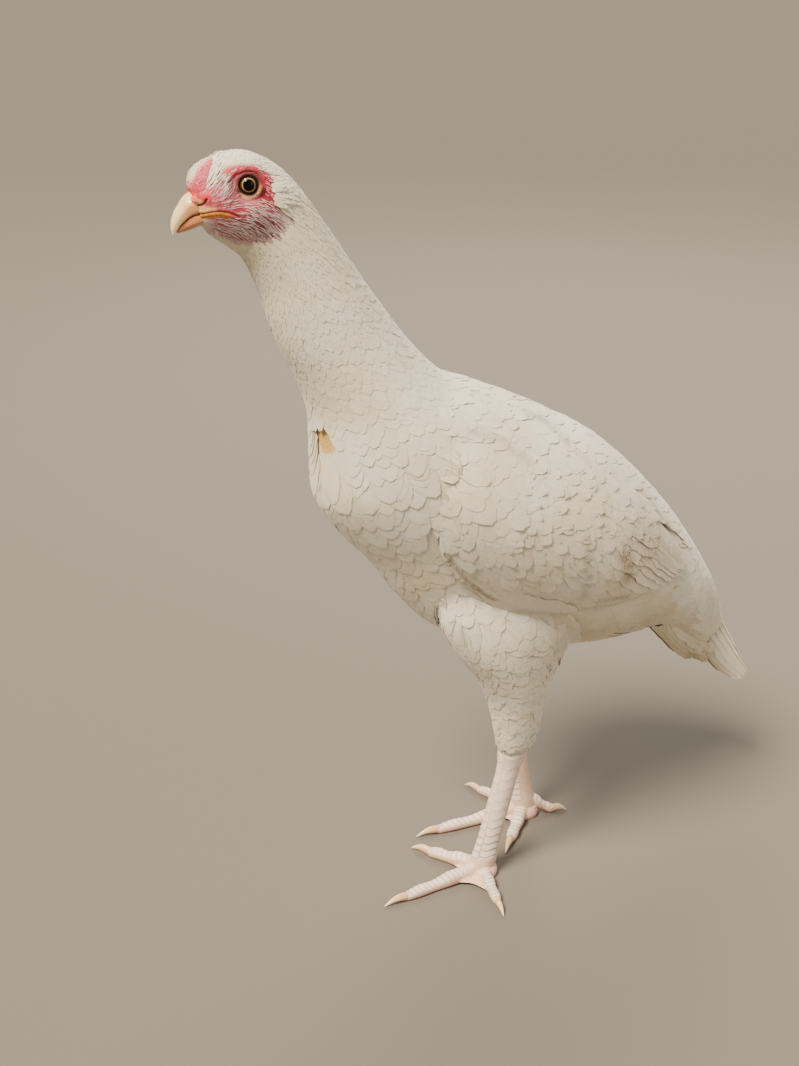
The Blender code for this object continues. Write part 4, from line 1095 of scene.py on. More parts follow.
for number, (tier, values) in enumerate(TAIL_TIERS.items()):
    count, (root_f, root_u), slope, lengths, places, depths, widths, half = values
    ahead, topside = sloping(slope)
    paths = {key: [] for key in ("left", "middle", "right", "up")}
    s = np.linspace(0, 1, 9)
    long = []
    deep, wide = between(depths, s), between(widths, s)
    for side, _ in SIDES:
        outside = np.array((0, -side, 0))
        for share in np.arange(count) / (count - 1):
            middle_turn = math.radians(between(places, share))
            reach = between(lengths, share) + rng.normal(0, 0.35)
            at = place(root_f, 0, root_u) + np.outer(s * reach, ahead) * CM
            for key, edge in (("left", -1), ("middle", 0), ("right", 1)):
                turn = middle_turn + edge * half / np.hypot(deep, wide) * 1.41
                rise, spread = np.cos(turn), np.sin(turn)
                normal = unit(np.outer(rise / deep, topside) + np.outer(spread / wide, outside))
                out = np.outer(deep * rise + 0.04 * side, topside) + np.outer(wide * spread, outside)
                paths[key].append(at + (out + normal * 0.09 * edge) * CM)
                if edge == 0:
                    paths["up"].append(normal)
            long.append(reach * CM)
    paths = {key: np.array(value).transpose(1, 0, 2) for key, value in paths.items()}
    patch = form_surface.patches_at(paths["middle"][0])
    soft = tier.startswith("under")
    coat.append(build_vanes(
        f"tail_{tier}", paths["left"], paths["middle"], paths["right"], paths["up"], np.array(long),
        np.full(len(long), 2 * half * CM), patch, soft_down if soft else stiff_feather, rows=20, columns=9,
        outline=POINTED_TIP if tier == "main" else LONG_TIP, sink=0.9, lift=0.2, crown=0.2,
        bow=0.15, fringe=1.6 if soft else 0.5, crumple=0.30 if soft else 0.12, even=0.85 if soft else 0.6,
        stain=np.where(soft, rng.uniform(0.1, 0.5, len(long)), 0.06), seed=80 + number))
    print("tail", tier, len(long))

# %% [markdown]
# ## Coverts over the tail's root
# The rump's last feathers are longer and run on over the tail, so that no step shows
# where the body ends. They need something to lie on: the body's form and a plain
# tapering sleeve round the tail, which is taken away again once the feathers are made.

# %% Tail coverts
TAIL_START = (-15.5, 0, 18.3)  # on the tail's middle line, near its root
tail_way, tail_top = sloping(59.0)
tail_side = np.array((0.0, -1.0, 0.0))


def round_tail(past, out_up, out_left):
    """A place past the tail's root, off its line upward and outward, all in centimetres."""
    past, out_up, out_left = (v[..., None] for v in np.broadcast_arrays(past, out_up, out_left))
    return place(*TAIL_START) + (tail_way * past + tail_top * out_up + tail_side * out_left) * CM


def rump_reach(past, turn):
    """How far the body's form lies from the tail's line, found from outside."""
    far = round_tail(past, 12 * math.cos(turn), 12 * math.sin(turn))
    hit = form_surface.tree.ray_cast(Vector(far), Vector(round_tail(past, 0, 0) - far))
    return 12 - hit[3] / CM


past, turn = np.linspace(-3.0, 9.0, 49)[:, None], turns(60)[None]
reach = np.array([[rump_reach(p, t) for t in turn[0]] for p in np.minimum(past[::2, 0], 0.5)])
reach = reach.repeat(2, 0)[:len(past)]
share = step_between(0.0, 4.5, past)
rump = round_tail(past, reach * np.cos(turn), reach * np.sin(turn))
shut = round_tail(past, 0.08 * past - 0.8 + (1.85 - 0.12 * past) * np.cos(turn),
                  (1.40 - 0.03 * past) * np.sin(turn))
sleeve = tube("tail_sleeve", rump + (shut - rump) * share[..., None])
draped = Surface(form, sleeve)
found = [(row, turn) for k, row in enumerate((-3.6, -2.6, -1.6, -0.6, 0.4))
         for turn in np.radians(np.arange(-126 + 9 * (k % 2), 127, 18))]
past, turn = np.array(found).T
past, turn = past + rng.normal(0, 0.12, len(past)), turn + rng.normal(0, 0.04, len(turn))
root = form_surface.nearest(round_tail(past, 2.2 * np.cos(turn), 2.8 * np.sin(turn)))[0]
ahead = unit(tail_way + rng.normal(0, 0.04, root.shape))
length = rng.uniform(0.9, 1.1, len(root)) * np.interp(past, (-3.6, 0.4), (3.6, 3.2)) * CM
coat.append(grow_vanes(
    "tail_coverts", root, ahead, length, np.full(len(root), 1.9 * CM), draped, stiff_feather,
    rows=12, columns=9, sink=2.2, lift=0.5, crown=0.6, outline=LONG_TIP, fringe=0.5,
    crumple=0.10, even=0.92, stain=np.clip(rng.normal(0.05, 0.05, len(root)), 0, 1), seed=90))
bpy.data.objects.remove(sleeve)
print("tail coverts", len(root))

# %% [markdown]
# ## Skin with painted zones
# Bare skin changes colour over a few millimetres: blood shows red round the eye, fat shows
# yellow on the lid, and the throat is a dull mauve. Each zone is a soft ellipse laid over
# the last one and kept as a colour on the mesh's points, so it moves with the shape.

# %% Painted finishes


def table_places(obj):
    """An object's points in the tables' centimetres: forward, left and up."""
    backward, right, up = (points_of(obj) / CM).T
    return MIDDLE_FORWARD - backward, -right, up


TABLE_WAYS = (-1, -1, 1)  # the tables run forward and left where the scene's axes run back and right


def paint(obj, layers):
    """Lays colours over each other on an object's points. A layer is a hex code and its weights."""
    made = np.zeros((len(obj.data.vertices), 4))
    for code, weight in layers:
        made += (np.array(colour(code)) - made) * np.broadcast_to(weight, len(made))[:, None]
    layer = obj.data.attributes.new("paint", "FLOAT_COLOR", "POINT")
    layer.data.foreach_set("color", made.astype(np.float32).ravel())


def painted_finish(name, roughness, grain_mm, depth_mm, speckle=0.0, subsurface=0.0, coat=0.0,
                   pebbles_mm=0.0, ior=1.40):
    """A finish whose colours are on the mesh, with a fine grain of its own."""
    made, tree, shader = new_material(name, {
        "Roughness": roughness, "IOR": ior, "Subsurface Weight": subsurface,
        "Subsurface Radius": (1.0, 0.45, 0.30), "Subsurface Scale": 0.0015, "Coat Weight": coat})
    base = add_node(tree, "ShaderNodeAttribute", attribute_name="paint").outputs["Color"]
    where = add_node(tree, "ShaderNodeNewGeometry").outputs["Position"]
    grain = add_node(tree, "ShaderNodeTexNoise", {
        "Vector": where, "Scale": 1000 / grain_mm / 2, "Detail": 4.0, "Roughness": 0.6})
    shade = add_node(tree, "ShaderNodeMapRange", {
        "Value": grain.outputs["Fac"], "From Min": 0.3, "From Max": 0.7, "To Min": 1 - speckle,
        "To Max": 1 + speckle * 0.5})
    shaded = add_node(tree, "ShaderNodeVectorMath", {0: base, "Scale": shade.outputs[0]},
                      operation="SCALE")
    tree.links.new(shaded.outputs[0], shader.inputs["Base Color"])
    relief = grain.outputs["Fac"]
    if pebbles_mm:
        cells = add_node(tree, "ShaderNodeTexVoronoi", {"Vector": where, "Scale": 1000 / pebbles_mm},
                         feature="DISTANCE_TO_EDGE")
        dome = add_node(tree, "ShaderNodeMapRange", {"Value": cells.outputs["Distance"], "From Max": 0.30},
                        interpolation_type="SMOOTHSTEP")
        cover = add_node(tree, "ShaderNodeAttribute", attribute_name="pebbles").outputs["Fac"]
        relief = add_node(tree, "ShaderNodeMath", {0: dome.outputs[0], 1: cover, 2: relief},
                          operation="MULTIPLY_ADD").outputs[0]
    bump = add_node(tree, "ShaderNodeBump", {
        "Height": relief, "Strength": 0.8, "Distance": depth_mm * MM})
    tree.links.new(bump.outputs["Normal"], shader.inputs["Normal"])
    return made


print("blood red skin as linear numbers:", [round(part, 3) for part in colour("#AE1634")[:3]])

# %% [markdown]
# ## Head
# The head is the part people look at first. Its skin is made finer than the rest: the
# plain rings, a swollen rim of lid round each eye, and the soft flap over each nostril
# are fused into one surface with faces half a millimetre across. The line of the mouth
# and the nostril are then pressed into it.

# %% Head skin
# The head's places are centimetres forward and up, or forward, left and up.
EYE = (18.15, 1.36, 50.28)
EYE_RADIUS = 0.62
EYE_TURN = (0.20, 1.0, 0.06)  # the way the eye looks: forward, left, up
MOUTH = ((21.05, 48.62), (20.60, 48.80), (20.20, 48.92), (19.80, 48.96), (19.40, 48.88),
         (18.85, 48.64))
OCHRE_EDGE = ((21.10, 48.46), (20.60, 48.62), (20.15, 48.76), (19.75, 48.82), (19.40, 48.74))
NOSTRIL = ((20.95, 49.25), (20.74, 49.25), (20.56, 49.40), (20.46, 49.60))
NOSE_FLAP = (20.86, 0.64, 49.50)


def eye_axes(side):
    """The eye's centre, the way it looks, and two directions across that, backward and up."""
    centre = place(EYE[0], EYE[1] * side, EYE[2])
    looks = unit(np.array((-EYE_TURN[0], -EYE_TURN[1] * side, EYE_TURN[2])))
    back = unit(np.array((1.0, 0, 0)) - looks * looks[0])
    return centre, looks, back, np.cross(looks, back) * side


def lid_rim(side):
    """A swollen ring of skin that hugs the eyeball. The lower lid is the broader one."""
    centre, looks, back, up = eye_axes(side)
    rings = []
    for turn in turns(72):
        out = back * math.cos(turn) * 1.06 + up * math.sin(turn)
        low = 0.5 - 0.5 * math.sin(turn)
        open_angle = math.radians(50 + 5 * low)
        middle = centre + (looks * math.cos(open_angle) + out * math.sin(open_angle)) * 0.655 * CM
        lean = turns(14)[:, None]
        thick, broad = 0.085 - 0.02 * low, 0.11 + 0.05 * low
        swell = out * np.cos(lean) * broad + out * broad * 0.6 + looks * np.sin(lean) * thick
        rings.append(middle + swell * CM)
    rings = np.array(rings)
    count, columns = rings.shape[:2]
    # The faces count one ring more than the points do, so the last ring joins the first.
    return mesh_piece("lid", rings, grid_faces(count + 1, columns, True) % (count * columns))


def egg(centre, radii, turn=0.0):
    """An egg-shaped lump, with radii in centimetres along forward, left and up."""
    lean, round_it = np.linspace(0.02, np.pi - 0.02, 24)[:, None], turns(32)[None]
    y = np.sin(lean) * np.sin(round_it) * radii[1]
    x, z = np.sin(lean) * np.cos(round_it) * radii[0], (np.cos(lean) + 0 * round_it) * radii[2]
    x, z = x * math.cos(turn) - z * math.sin(turn), x * math.sin(turn) + z * math.cos(turn)
    return tube("lump", place(centre[0] + x, centre[1] + y, centre[2] + z))


rings_at = np.linspace(0.0, 9.4, 240)[:, None]
tucked = 0.16 * step_between(4.4, 6.2, rings_at) + 0.10 * step_between(8, 9.4, rings_at)
head_rings = body_point(rings_at, turns(200)[None])
head_rings += (head_rings.mean(1, keepdims=True) - head_rings) * tucked[..., None] / 2.2
lumps = [lid_rim(side) for side, _ in SIDES]
lumps += [egg((NOSE_FLAP[0], NOSE_FLAP[1] * side, NOSE_FLAP[2]), (0.33, 0.27, 0.22), 0.35)
          for side, _ in SIDES]
head = fused("head_skin", [tube("head_form", head_rings), *lumps], 0.45 * MM, smooth=3)
f, l, u = table_places(head)
mouth_far = line_distance(f, u, MOUTH)
nostril_far = line_distance(f, u, NOSTRIL) / 0.05 + 9 * (np.abs(l) < 0.3)


def eye_distance(f, l, u):
    """Distance from the nearer eye's axis, and the height over it, both in centimetres."""
    co, round_eye, above = place(f, l, u), np.full(len(f), 9.0), np.zeros(len(f))
    for side, _ in SIDES:
        centre, looks, back, up_way = eye_axes(side)
        from_eye = (co - centre) / CM
        far = np.hypot(from_eye @ back, from_eye @ up_way)
        near = (l * side > 0.2) & (far < round_eye)
        round_eye = np.where(near, far, round_eye)
        above = np.where(near, from_eye @ up_way, above)
    return round_eye, above


# %% [markdown]
# ## Lines and colours of the face
# The mouth, the nostril, the brow and the fold under the eye are pressed into the skin or
# raised from it by a few tenths of a millimetre. Behind the eye the bare skin lies in
# fine folds. Then the colours go on, from the broad zones to the smallest lines. Some of
# them are painted shade: in the grooves of the folds, under the brow, round the eye's rim,
# along the mouth and in the nostril.

# %% Lines and colours of the face
round_eye, above_eye = eye_distance(f, l, u)
BROW = ((19.35, 50.55), (18.85, 50.95), (18.20, 51.12), (17.55, 50.92), (17.25, 50.45))
brow_far = line_distance(f, u, BROW)
behind_eye = zone(f, u, (17.15, 49.85), (0.55, 0.95), 0.4)
folds = np.sin(round_eye * 30 + 2.4 * np.sin(f * 7 + 1) + 1.8 * np.sin(u * 9 + f * 3))
pressed = 0.036 * np.exp(-(mouth_far / 0.036) ** 2) * (np.abs(l) > 0.35)
pressed = pressed - 0.035 * np.exp(-((mouth_far - 0.13) / 0.07) ** 2)  # lips
pressed = pressed + 0.07 * np.exp(-nostril_far ** 2) + 0.013 * folds * behind_eye
pressed = pressed - 0.055 * np.exp(-(brow_far / 0.11) ** 2) * (round_eye > EYE_RADIUS)
under_eye = zone(f, u, (18.1, 50.1), (1.4, 1.2), 0.3)
pressed = pressed + 0.030 * np.exp(-((round_eye - 0.86) / 0.06) ** 2) * under_eye
co = np.stack([f, l, u], -1) - normals_of(head) * TABLE_WAYS * pressed[:, None]
move_points(head, place(*co.T))

eye_angle_wave = 0.75 + 0.25 * np.sin(np.arctan2(above_eye, f - EYE[0]) * 34)
rear = step_between(15.9, 16.9, f)
in_lid = step_between(0.81, 0.74, round_eye) * step_between(0.12, -0.16, above_eye)
in_lid = in_lid * step_between(18.74, 18.56, f)
paint(head, (
    ("#EFE6D4", 1.0),
    ("#C7596A", bare_face(f, u) * rear * 0.95),
    ("#8E4D55", zone(f, u, (18.0, 48.2), (2.3, 1.05), 0.35) * rear * 0.9),
    ("#74404A", zone(f, u, (17.3, 47.9), (1.5, 0.60), 0.5) * rear * 0.7),
    ("#96525E", zone(f, u, (19.35, 50.0), (0.80, 0.65), 0.5) * 0.8),
    ("#B5203C", zone(f, u, (18.25, 51.0), (1.20, 0.34), 0.5) * 0.9),
    ("#AE1634", behind_eye * 0.95),
    # painted shade in the grooves of the folds behind the eye
    ("#6E1426", np.clip(folds, 0, 1) * behind_eye * 0.45),
    ("#DD6E76", zone(f, u, (20.1, 50.2), (0.5, 1.0), 0.4) * 0.7),
    ("#C23D50", zone(f, u, (18.9, 48.95), (0.75, 0.26), 0.5) * 0.85),
    ("#B03A4C", zone(f, u, (20.0, 49.35), (0.75, 0.30), 0.5) * 0.6),
    ("#F0AF7C", zone(f, u, (20.66, 48.98), (0.66, 0.26), 0.35) * (np.abs(l) > 0.3)),
    ("#E64A50", zone(f, u, (NOSE_FLAP[0] - 0.08, NOSE_FLAP[2] + 0.20), (0.52, 0.30), 0.4)),
    ("#F6A676", zone(f, u, (NOSE_FLAP[0] - 0.02, NOSE_FLAP[2] - 0.06), (0.24, 0.17), 0.5)),
    # painted shadow that the brow throws over the upper lid
    ("#5A2420", step_between(0.92, 0.66, round_eye) * step_between(-0.05, 0.30, above_eye) * 0.85),
    # painted shade: a dark ring where the lid meets the eyeball
    ("#4A2414", step_between(0.61, 0.57, round_eye) * 0.9),
    ("#E2BE84", in_lid * step_between(0.585, 0.615, round_eye) * eye_angle_wave * 0.95),
    # painted shade: a dark spot in the eye's front corner
    ("#4E2A14", zone(f, u, (18.74, 50.03), (0.14, 0.14), 0.5) * 0.9),
    # painted shade: dark skin under the eyeball
    ("#24150F", step_between(0.555, 0.51, round_eye)),
    ("#C07A1C", step_between(0.17, 0.07, line_distance(f, u, OCHRE_EDGE)) * (np.abs(l) > 0.3)),
    # painted shade: a brown line along the mouth's groove, where the lips meet
    ("#8A4420", step_between(0.050, 0.015, mouth_far) * (np.abs(l) > 0.35)),
    # painted shade: the nostril's slit is painted dark red-brown
    ("#7A1E18", step_between(1.6, 0.7, nostril_far)),
))
face_skin = painted_finish("bare_face_skin", 0.5, 0.7, 0.25, speckle=0.30, subsurface=0.30)
head.data.materials.append(face_skin)
unwrap(head)
head_surface = Surface(head)
print("head skin faces", len(head.data.polygons))

# %% [markdown]
# ## Eyes
# The eye is a wet ball: a black pupil, a pale straw iris with a browner outer ring, and a
# clear cornea that gives one sharp highlight. The colours are rings round the axis, and a
# smooth, glossy finish over them, with the ball swelling a little in front, stands for the cornea.

# %% Eyes
eye_finish = painted_finish("wet_cornea", 0.06, 0.5, 0.0, speckle=0.12, ior=1.38)
eye_finish.node_tree.nodes["Principled BSDF"].inputs["Specular IOR Level"].default_value = 0.28
for side, word in SIDES:
    centre, looks, back, up_way = eye_axes(side)
    lean = np.radians(np.concatenate([np.linspace(0.3, 60, 90), np.linspace(62, 176, 30)]))[:, None, None]
    round_it = turns(72)[None, :, None]
    swell = EYE_RADIUS + 0.035 * step_between(0.75, 0.2, lean)
    spread = back * np.cos(round_it) + up_way * np.sin(round_it)
    grid = centre + (looks * np.cos(lean) + spread * np.sin(lean)) * swell * CM
    eye = tube(f"eye_{word}", grid, eye_finish)
    from_eye = (points_of(eye) - centre) / CM
    far = np.hypot(from_eye @ back, from_eye @ up_way)
    angle = np.arctan2(from_eye @ up_way, from_eye @ back)
    fibre = 0.5 + 0.5 * np.sin(angle * 23 + 2 * np.sin(angle * 5) + far * 20)
    paint(eye, (
        ("#1A0F0A", 1.0),
        ("#3E2616", step_between(0.50, 0.44, far)),
        ("#6E5A2C", step_between(0.395, 0.370, far)),
        ("#B59A5A",
         step_between(0.378, 0.362, far) * step_between(0.318, 0.336, far) * (0.4 + 0.6 * fibre)),
        ("#3A2612", step_between(0.322, 0.304, far)),
        ("#020102", step_between(0.296, 0.284, far)),
    ))
    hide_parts(f"eye_{word}")
    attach(eye, "root")
    print(eye.name, "radius mm", round(10 * EYE_RADIUS, 1))

# %% [markdown]
# ## Bill
# Horn grows as a shell over the bone, peach where blood shows through at the root and
# ivory at the worn tip. Fine growth lines run along it. Both halves are lofts between
# the ridge and the cutting edge, closed flat where they meet.

# %% Bill
# Ridge (forward, up), cutting edge (forward, up) and half width of the upper half, to the
# tip. The lower half has its cutting edge first and its lower ridge second.
UPPER_BILL = (
    (21.12, 49.82, 20.70, 48.72, 0.74),
    (21.42, 49.62, 20.98, 48.66, 0.66),
    (21.72, 49.22, 21.20, 48.54, 0.55),
    (21.98, 48.84, 21.46, 48.34, 0.44),
    (22.15, 48.42, 21.74, 48.06, 0.31),
    (22.20, 48.00, 21.94, 47.80, 0.19),
    (22.14, 47.62, 22.06, 47.58, 0.06),
)
LOWER_BILL = (
    (20.69, 48.74, 20.52, 48.02, 0.68),
    (21.00, 48.67, 20.92, 47.88, 0.58),
    (21.24, 48.53, 21.22, 47.80, 0.48),
    (21.50, 48.32, 21.46, 47.74, 0.36),
    (21.74, 48.07, 21.72, 47.69, 0.23),
    (21.90, 47.86, 21.88, 47.69, 0.10),
)
PALE_RIDGE = ((20.95, 50.1), (21.75, 49.3), (22.2, 48.2))
CUTTING_EDGE = (MOUTH[0], (21.3, 48.50), (21.72, 48.12))
horn = painted_finish(
    "keratin_horn", 0.32, 0.5, 0.05, speckle=0.06, subsurface=0.25, coat=0.15, ior=1.55)
for name, rows, sharp in (("bill_upper", UPPER_BILL, 1), ("bill_lower", LOWER_BILL, -1)):
    along = np.linspace(-0.25, len(rows) - 1, 60)
    row = smooth_rows(rows, along)[:, None]
    turn = turns(56)[None]
    rise, side = np.cos(turn), np.sin(turn)
    narrow = 1 - 0.35 * np.maximum(rise * sharp, 0) ** 2
    flat = rise * sharp < 0
    rise = np.where(flat, np.sign(rise) * np.abs(rise) ** 0.35, rise)
    side = np.where(flat, np.sign(side) * np.abs(side) ** 0.6, side)
    forward, up = on_ring(row, rise)
    bill = tube(name, place(forward + 0.02, row[..., 4] * side * narrow, up), horn)
    f, l, u = table_places(bill)
    tipward = step_between(20.9, 22.1, f) * step_between(49.6, 48.2, u)
    paint(bill, (
        ("#EEA96E", 1.0),
        ("#FADBA4", step_between(0.5, 0.1, line_distance(f, u, PALE_RIDGE)) * (sharp > 0) * 0.85),
        ("#F8DFAE", tipward * (sharp > 0)),
        # painted shade: the lower half is darker and browner, most at its bottom, as it lies in the upper
        # half's shade
        ("#AE6A44", (0.45 + 0.4 * step_between(48.5, 47.9, u)) * (sharp < 0)),
        # painted shadow: a brown line along the cutting edge, where the upper half's edge lies over the lower
        # one
        ("#B0662A", step_between(0.16, 0.03, line_distance(f, u, CUTTING_EDGE)) * 0.75),
    ))
    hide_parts(name)
    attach(bill, "root")
    print(bill.name, len(bill.data.polygons), "faces")

# %% [markdown]
# ## Comb
# A game hen's comb is a low, rough cushion along the forehead, set with small knobs in
# three rows. It is laid on the head skin as a grid, raised in the middle and thin at the
# rim. Thin skin full of blood is deep pink, paler on the knobs, and nearly white along the
# middle, where the sun strikes it.

# %% Comb
# Rows from the bill up: the middle (forward, up), the side (forward, left, up), and the height.
COMB = (
    (21.10, 49.88, 20.62, 1.20, 49.80, 0.08),
    (21.05, 50.25, 20.44, 1.17, 50.15, 0.18),
    (20.88, 50.68, 20.26, 1.09, 50.56, 0.23),
    (20.58, 51.10, 20.04, 0.95, 50.98, 0.23),
    (20.15, 51.42, 19.84, 0.76, 51.28, 0.13),
    (19.66, 51.66, 19.62, 0.50, 51.56, 0.02),
)


def comb_base(share, across):
    """Places close to the head under the comb, in world metres, the comb's height and its rim."""
    row = smooth_rows(COMB, share * (len(COMB) - 1))
    rim = np.sqrt(np.clip(1 - np.abs(2 * share - 1) ** 5, 0, 1))
    side = across * (0.45 + 0.55 * rim)
    forward = row[..., 0] + (row[..., 2] - row[..., 0]) * side ** 2
    up = row[..., 1] + (row[..., 4] - row[..., 1]) * side ** 2
    return place(forward, row[..., 3] * side, up), row[..., 5] * CM, rim


share, across = np.meshgrid(np.linspace(0.01, 0.99, 130), np.linspace(-1, 1, 100), indexing="ij")
base, high, rim = comb_base(share, across)
at, out, _ = head_surface.nearest(base.reshape(-1, 3))
seeds = comb_base(rng.uniform(0, 1, 420), rng.uniform(-1, 1, 420))[0]
seeds = head_surface.nearest(seeds)[0]
gap = np.linalg.norm(at[:, None] - seeds[None], axis=-1)
gap.partition(1, axis=1)
knob = step_between(0.0, 0.0005, gap[:, 1] - gap[:, 0]).reshape(share.shape)
side_fall = (1 - 0.55 * np.abs(across) ** 1.5) * (1 - np.abs(across) ** 12)
raised = ((high * side_fall + 0.0002) * (0.72 + 0.28 * knob) * rim - 0.0002).reshape(-1, 1)
top = (at + out * raised).reshape(*share.shape, 3)
low = (at - out * 0.0010).reshape(*share.shape, 3)
shell = np.concatenate([top, low[:, ::-1]], 1)
comb = mesh_piece("comb", shell, grid_faces(*shell.shape[:2], True))
comb.data.materials.append(
    painted_finish("comb_skin", 0.5, 0.9, 0.25, speckle=0.30, subsurface=0.35))
sunlit = step_between(0.58, 0.30, np.abs(across)) * step_between(0.08, 0.45, share)
knob, sunlit = (np.concatenate([v, v[:, ::-1]], 1).ravel() for v in (knob, sunlit))
f, l, u = table_places(comb)
paint(comb, (
    ("#C4405A", 1.0), ("#E98A90", knob * 0.75), ("#E23A4C", step_between(50.6, 49.8, u) * 0.55),
    ("#F4E6DA", sunlit * (0.75 + 0.2 * knob)),
))
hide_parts("comb")
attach(comb, "root")
print("comb faces", len(comb.data.polygons))

# %% [markdown]
# ## Bristles and crown feathers
# The face of a game hen is nearly bare: fine white bristles 3 to 4 mm long lie backward
# over red skin and thicken into small feathers on the crown and behind the eye. In front
# of the eye they sweep up and over it. They leave the comb, the lids and the line of the
# mouth free.

# %% Bristles
BRISTLE_SPACE = ((0, 1.25), (1, 1.25))  # station and millimetres between bristles
station, turn = rows_of_roots(body_point, 0.35, 7.0, BRISTLE_SPACE, overlap=0.9)
station = station + rng.normal(0, 0.03, len(station))
turn = turn + rng.normal(0, 0.03, len(turn))
root, ahead, around = ways_on(body_point, station, turn)
f, l, u = MIDDLE_FORWARD - root[:, 0] / CM, -root[:, 1] / CM, root[:, 2] / CM
far = eye_distance(f, l, u)[0]
rows = np.array(COMB)
on_comb = (f > np.interp(u, rows[:, 4], rows[:, 2]) + 0.02) & (f > 19.6) & (u > 49.72)
free = (far > 0.88) & ~on_comb & (line_distance(f, u, MOUTH) > 0.12)
free &= zone(f, u, (20.62, 49.0), (0.78, 0.30), 0.2) < 0.5  # the soft corner over the mouth
free &= (np.hypot(f - NOSE_FLAP[0], u - NOSE_FLAP[2]) > 0.55) & (line_distance(f, u, OCHRE_EDGE) > 0.16)
bare = bare_face(f, u)
tuft_strip = zone(f, u, (19.78, 50.35), (0.36, 0.95), 0.35)  # white hair between comb and eye
cheek = zone(f, u, (18.0, 48.3), (2.1, 1.1), 0.4)
crimson = zone(f, u, (17.15, 49.85), (0.6, 0.9), 0.3)
dice = rng.uniform(0, 1, len(f))
small_feathers = free & (station < 4.95) & (bare < 0.35) & (station > 1.2)
bristles = free & (bare >= 0.15) & (dice < 0.42 + 0.22 * cheek + 0.50 * tuft_strip - 0.04 * crimson)
bristles |= free & (station <= 1.2) & (dice < 0.5)
swirl = around * rng.normal(0, 0.16, len(f))[:, None]
# In front of the eye the bristles sweep up and over it. Behind it they lie straight back.
swept = zone(f, u, (19.5, 50.5), (0.95, 1.1), 0.5)
swept = np.maximum(swept, 0.6 * zone(f, u, (18.6, 51.0), (0.8, 0.5), 0.4))
swirl = swirl + swept[:, None] * np.array([0.2, 0.0, 1.3])
small = dict(home=head_surface, rows=5, columns=3, outline=NARROW_TIP)
bristle_long, bristle_wide = (
    3.6 + 3.2 * cheek + 1.6 * tuft_strip, 0.30 + 0.06 * cheek + 0.25 * tuft_strip)
for name, chosen, long, wide, look in (
    ("crown_feathers", small_feathers, 5.0, 1.7,
     dict(lift=0.20, crown=0.10, sink=0.5, fringe=0.3, even=0.88)),
    ("face_bristles", bristles, bristle_long, bristle_wide,
     dict(lift=0.45, crown=0.0, sink=0.12, fringe=0.1, even=0.8)),
):
    many = chosen.sum()
    long, wide = (np.broadcast_to(v, len(f))[chosen] for v in (long, wide))
    piece = grow_vanes(
        name, root[chosen], unit(ahead + swirl)[chosen], long * MM * rng.uniform(0.75, 1.25, many),
        wide * MM * rng.uniform(0.8, 1.2, many), head_surface,
        pale_bristle if name == "face_bristles" else white_feather, crumple=0.06, seed=90,
        **small, **look)
    coat.append(piece)
    print(name, many)

# %% [markdown]
# ## Small feathers at the comb and over the ears
# A few short feathers lie back over both rims of the comb, and sparse down lies on the
# middle of its upper half. A puff of softer feathers covers the opening of each ear and
# lets sound through.

# %% Small feathers at the comb and over the ears
COMB_RIMS = (-1.14, -0.98, 0.98, 1.14)  # two rows on each side, as shares of the half width
many = len(COMB_RIMS) * 30
share = np.tile(np.linspace(0.22, 1.0, 30), len(COMB_RIMS)) + rng.normal(0, 0.01, many)
across = np.repeat(COMB_RIMS, 30) + rng.normal(0, 0.04, many)
root = comb_base(share, across)[0]
way = unit(comb_base(share + 0.02, across)[0] - root) + (0.8, 0, 0.2)
coat.append(grow_vanes(
    "comb_side_feathers", root, unit(way), rng.uniform(4.0, 7.0, many) * MM,
    rng.uniform(0.7, 1.3, many) * MM, head_surface, white_feather, lift=0.7, crown=0.1,
    sink=-0.25, crumple=0.05, even=0.85, seed=95, **small))

many = 260
share, across = rng.uniform(0.34, 1.0, many), rng.normal(0, 0.20, many)
root = comb_base(share, across)[0]
way = unit(comb_base(share + 0.02, across)[0] - root) + rng.normal(0, 0.25, (many, 3))
coat.append(grow_vanes(
    "comb_down", root, unit(way), rng.uniform(2.0, 3.6, many) * MM,
    rng.uniform(0.5, 1.0, many) * MM, Surface(comb), white_feather, lift=0.30, crown=0.05,
    sink=0.15, crumple=0.03, even=0.85, seed=97, **{**small, "rows": 4}))

down, back = np.meshgrid(np.linspace(-1, 1, 11), np.linspace(0, 1, 7))
down, back = (v.ravel() + rng.normal(0, 0.08, v.size) for v in (down, back))
many = len(down)
for side, word in SIDES:
    root = place(16.95 - 0.95 * back, 1.75 * side, 49.72 - 0.50 * down * (1 - 0.5 * back))
    way = unit(np.stack([np.full(many, 1.0), np.zeros(many), -0.25 - 0.5 * down], -1))
    coat.append(grow_vanes(
        f"ear_feathers_{word}", root, way, rng.uniform(6.0, 8.5, many) * MM,
        rng.uniform(1.8, 2.6, many) * MM, head_surface, white_feather, home=head_surface,
        rows=5, columns=5, lift=2.2, crown=0.6, sink=0.4, crumple=0.08, even=0.8,
        outline=LONG_TIP, seed=96))
print("feathers over an ear:", many)

# %% [markdown]
# ## Legs
# Shank, toes and webs are one scaly skin. On the real leg, broad horny plates overlap
# down the front in two rows, narrower ones cross the top of each toe, and small round
# scales cover the rest. The plain forms are fused first. Then every point of the surface
# asks where it lies along its limb, and the plates are raised there by a formula.

# %% Leg tables
SHANK_RADII = (0.86, 0.68)  # cm from its axis to the front and to the side
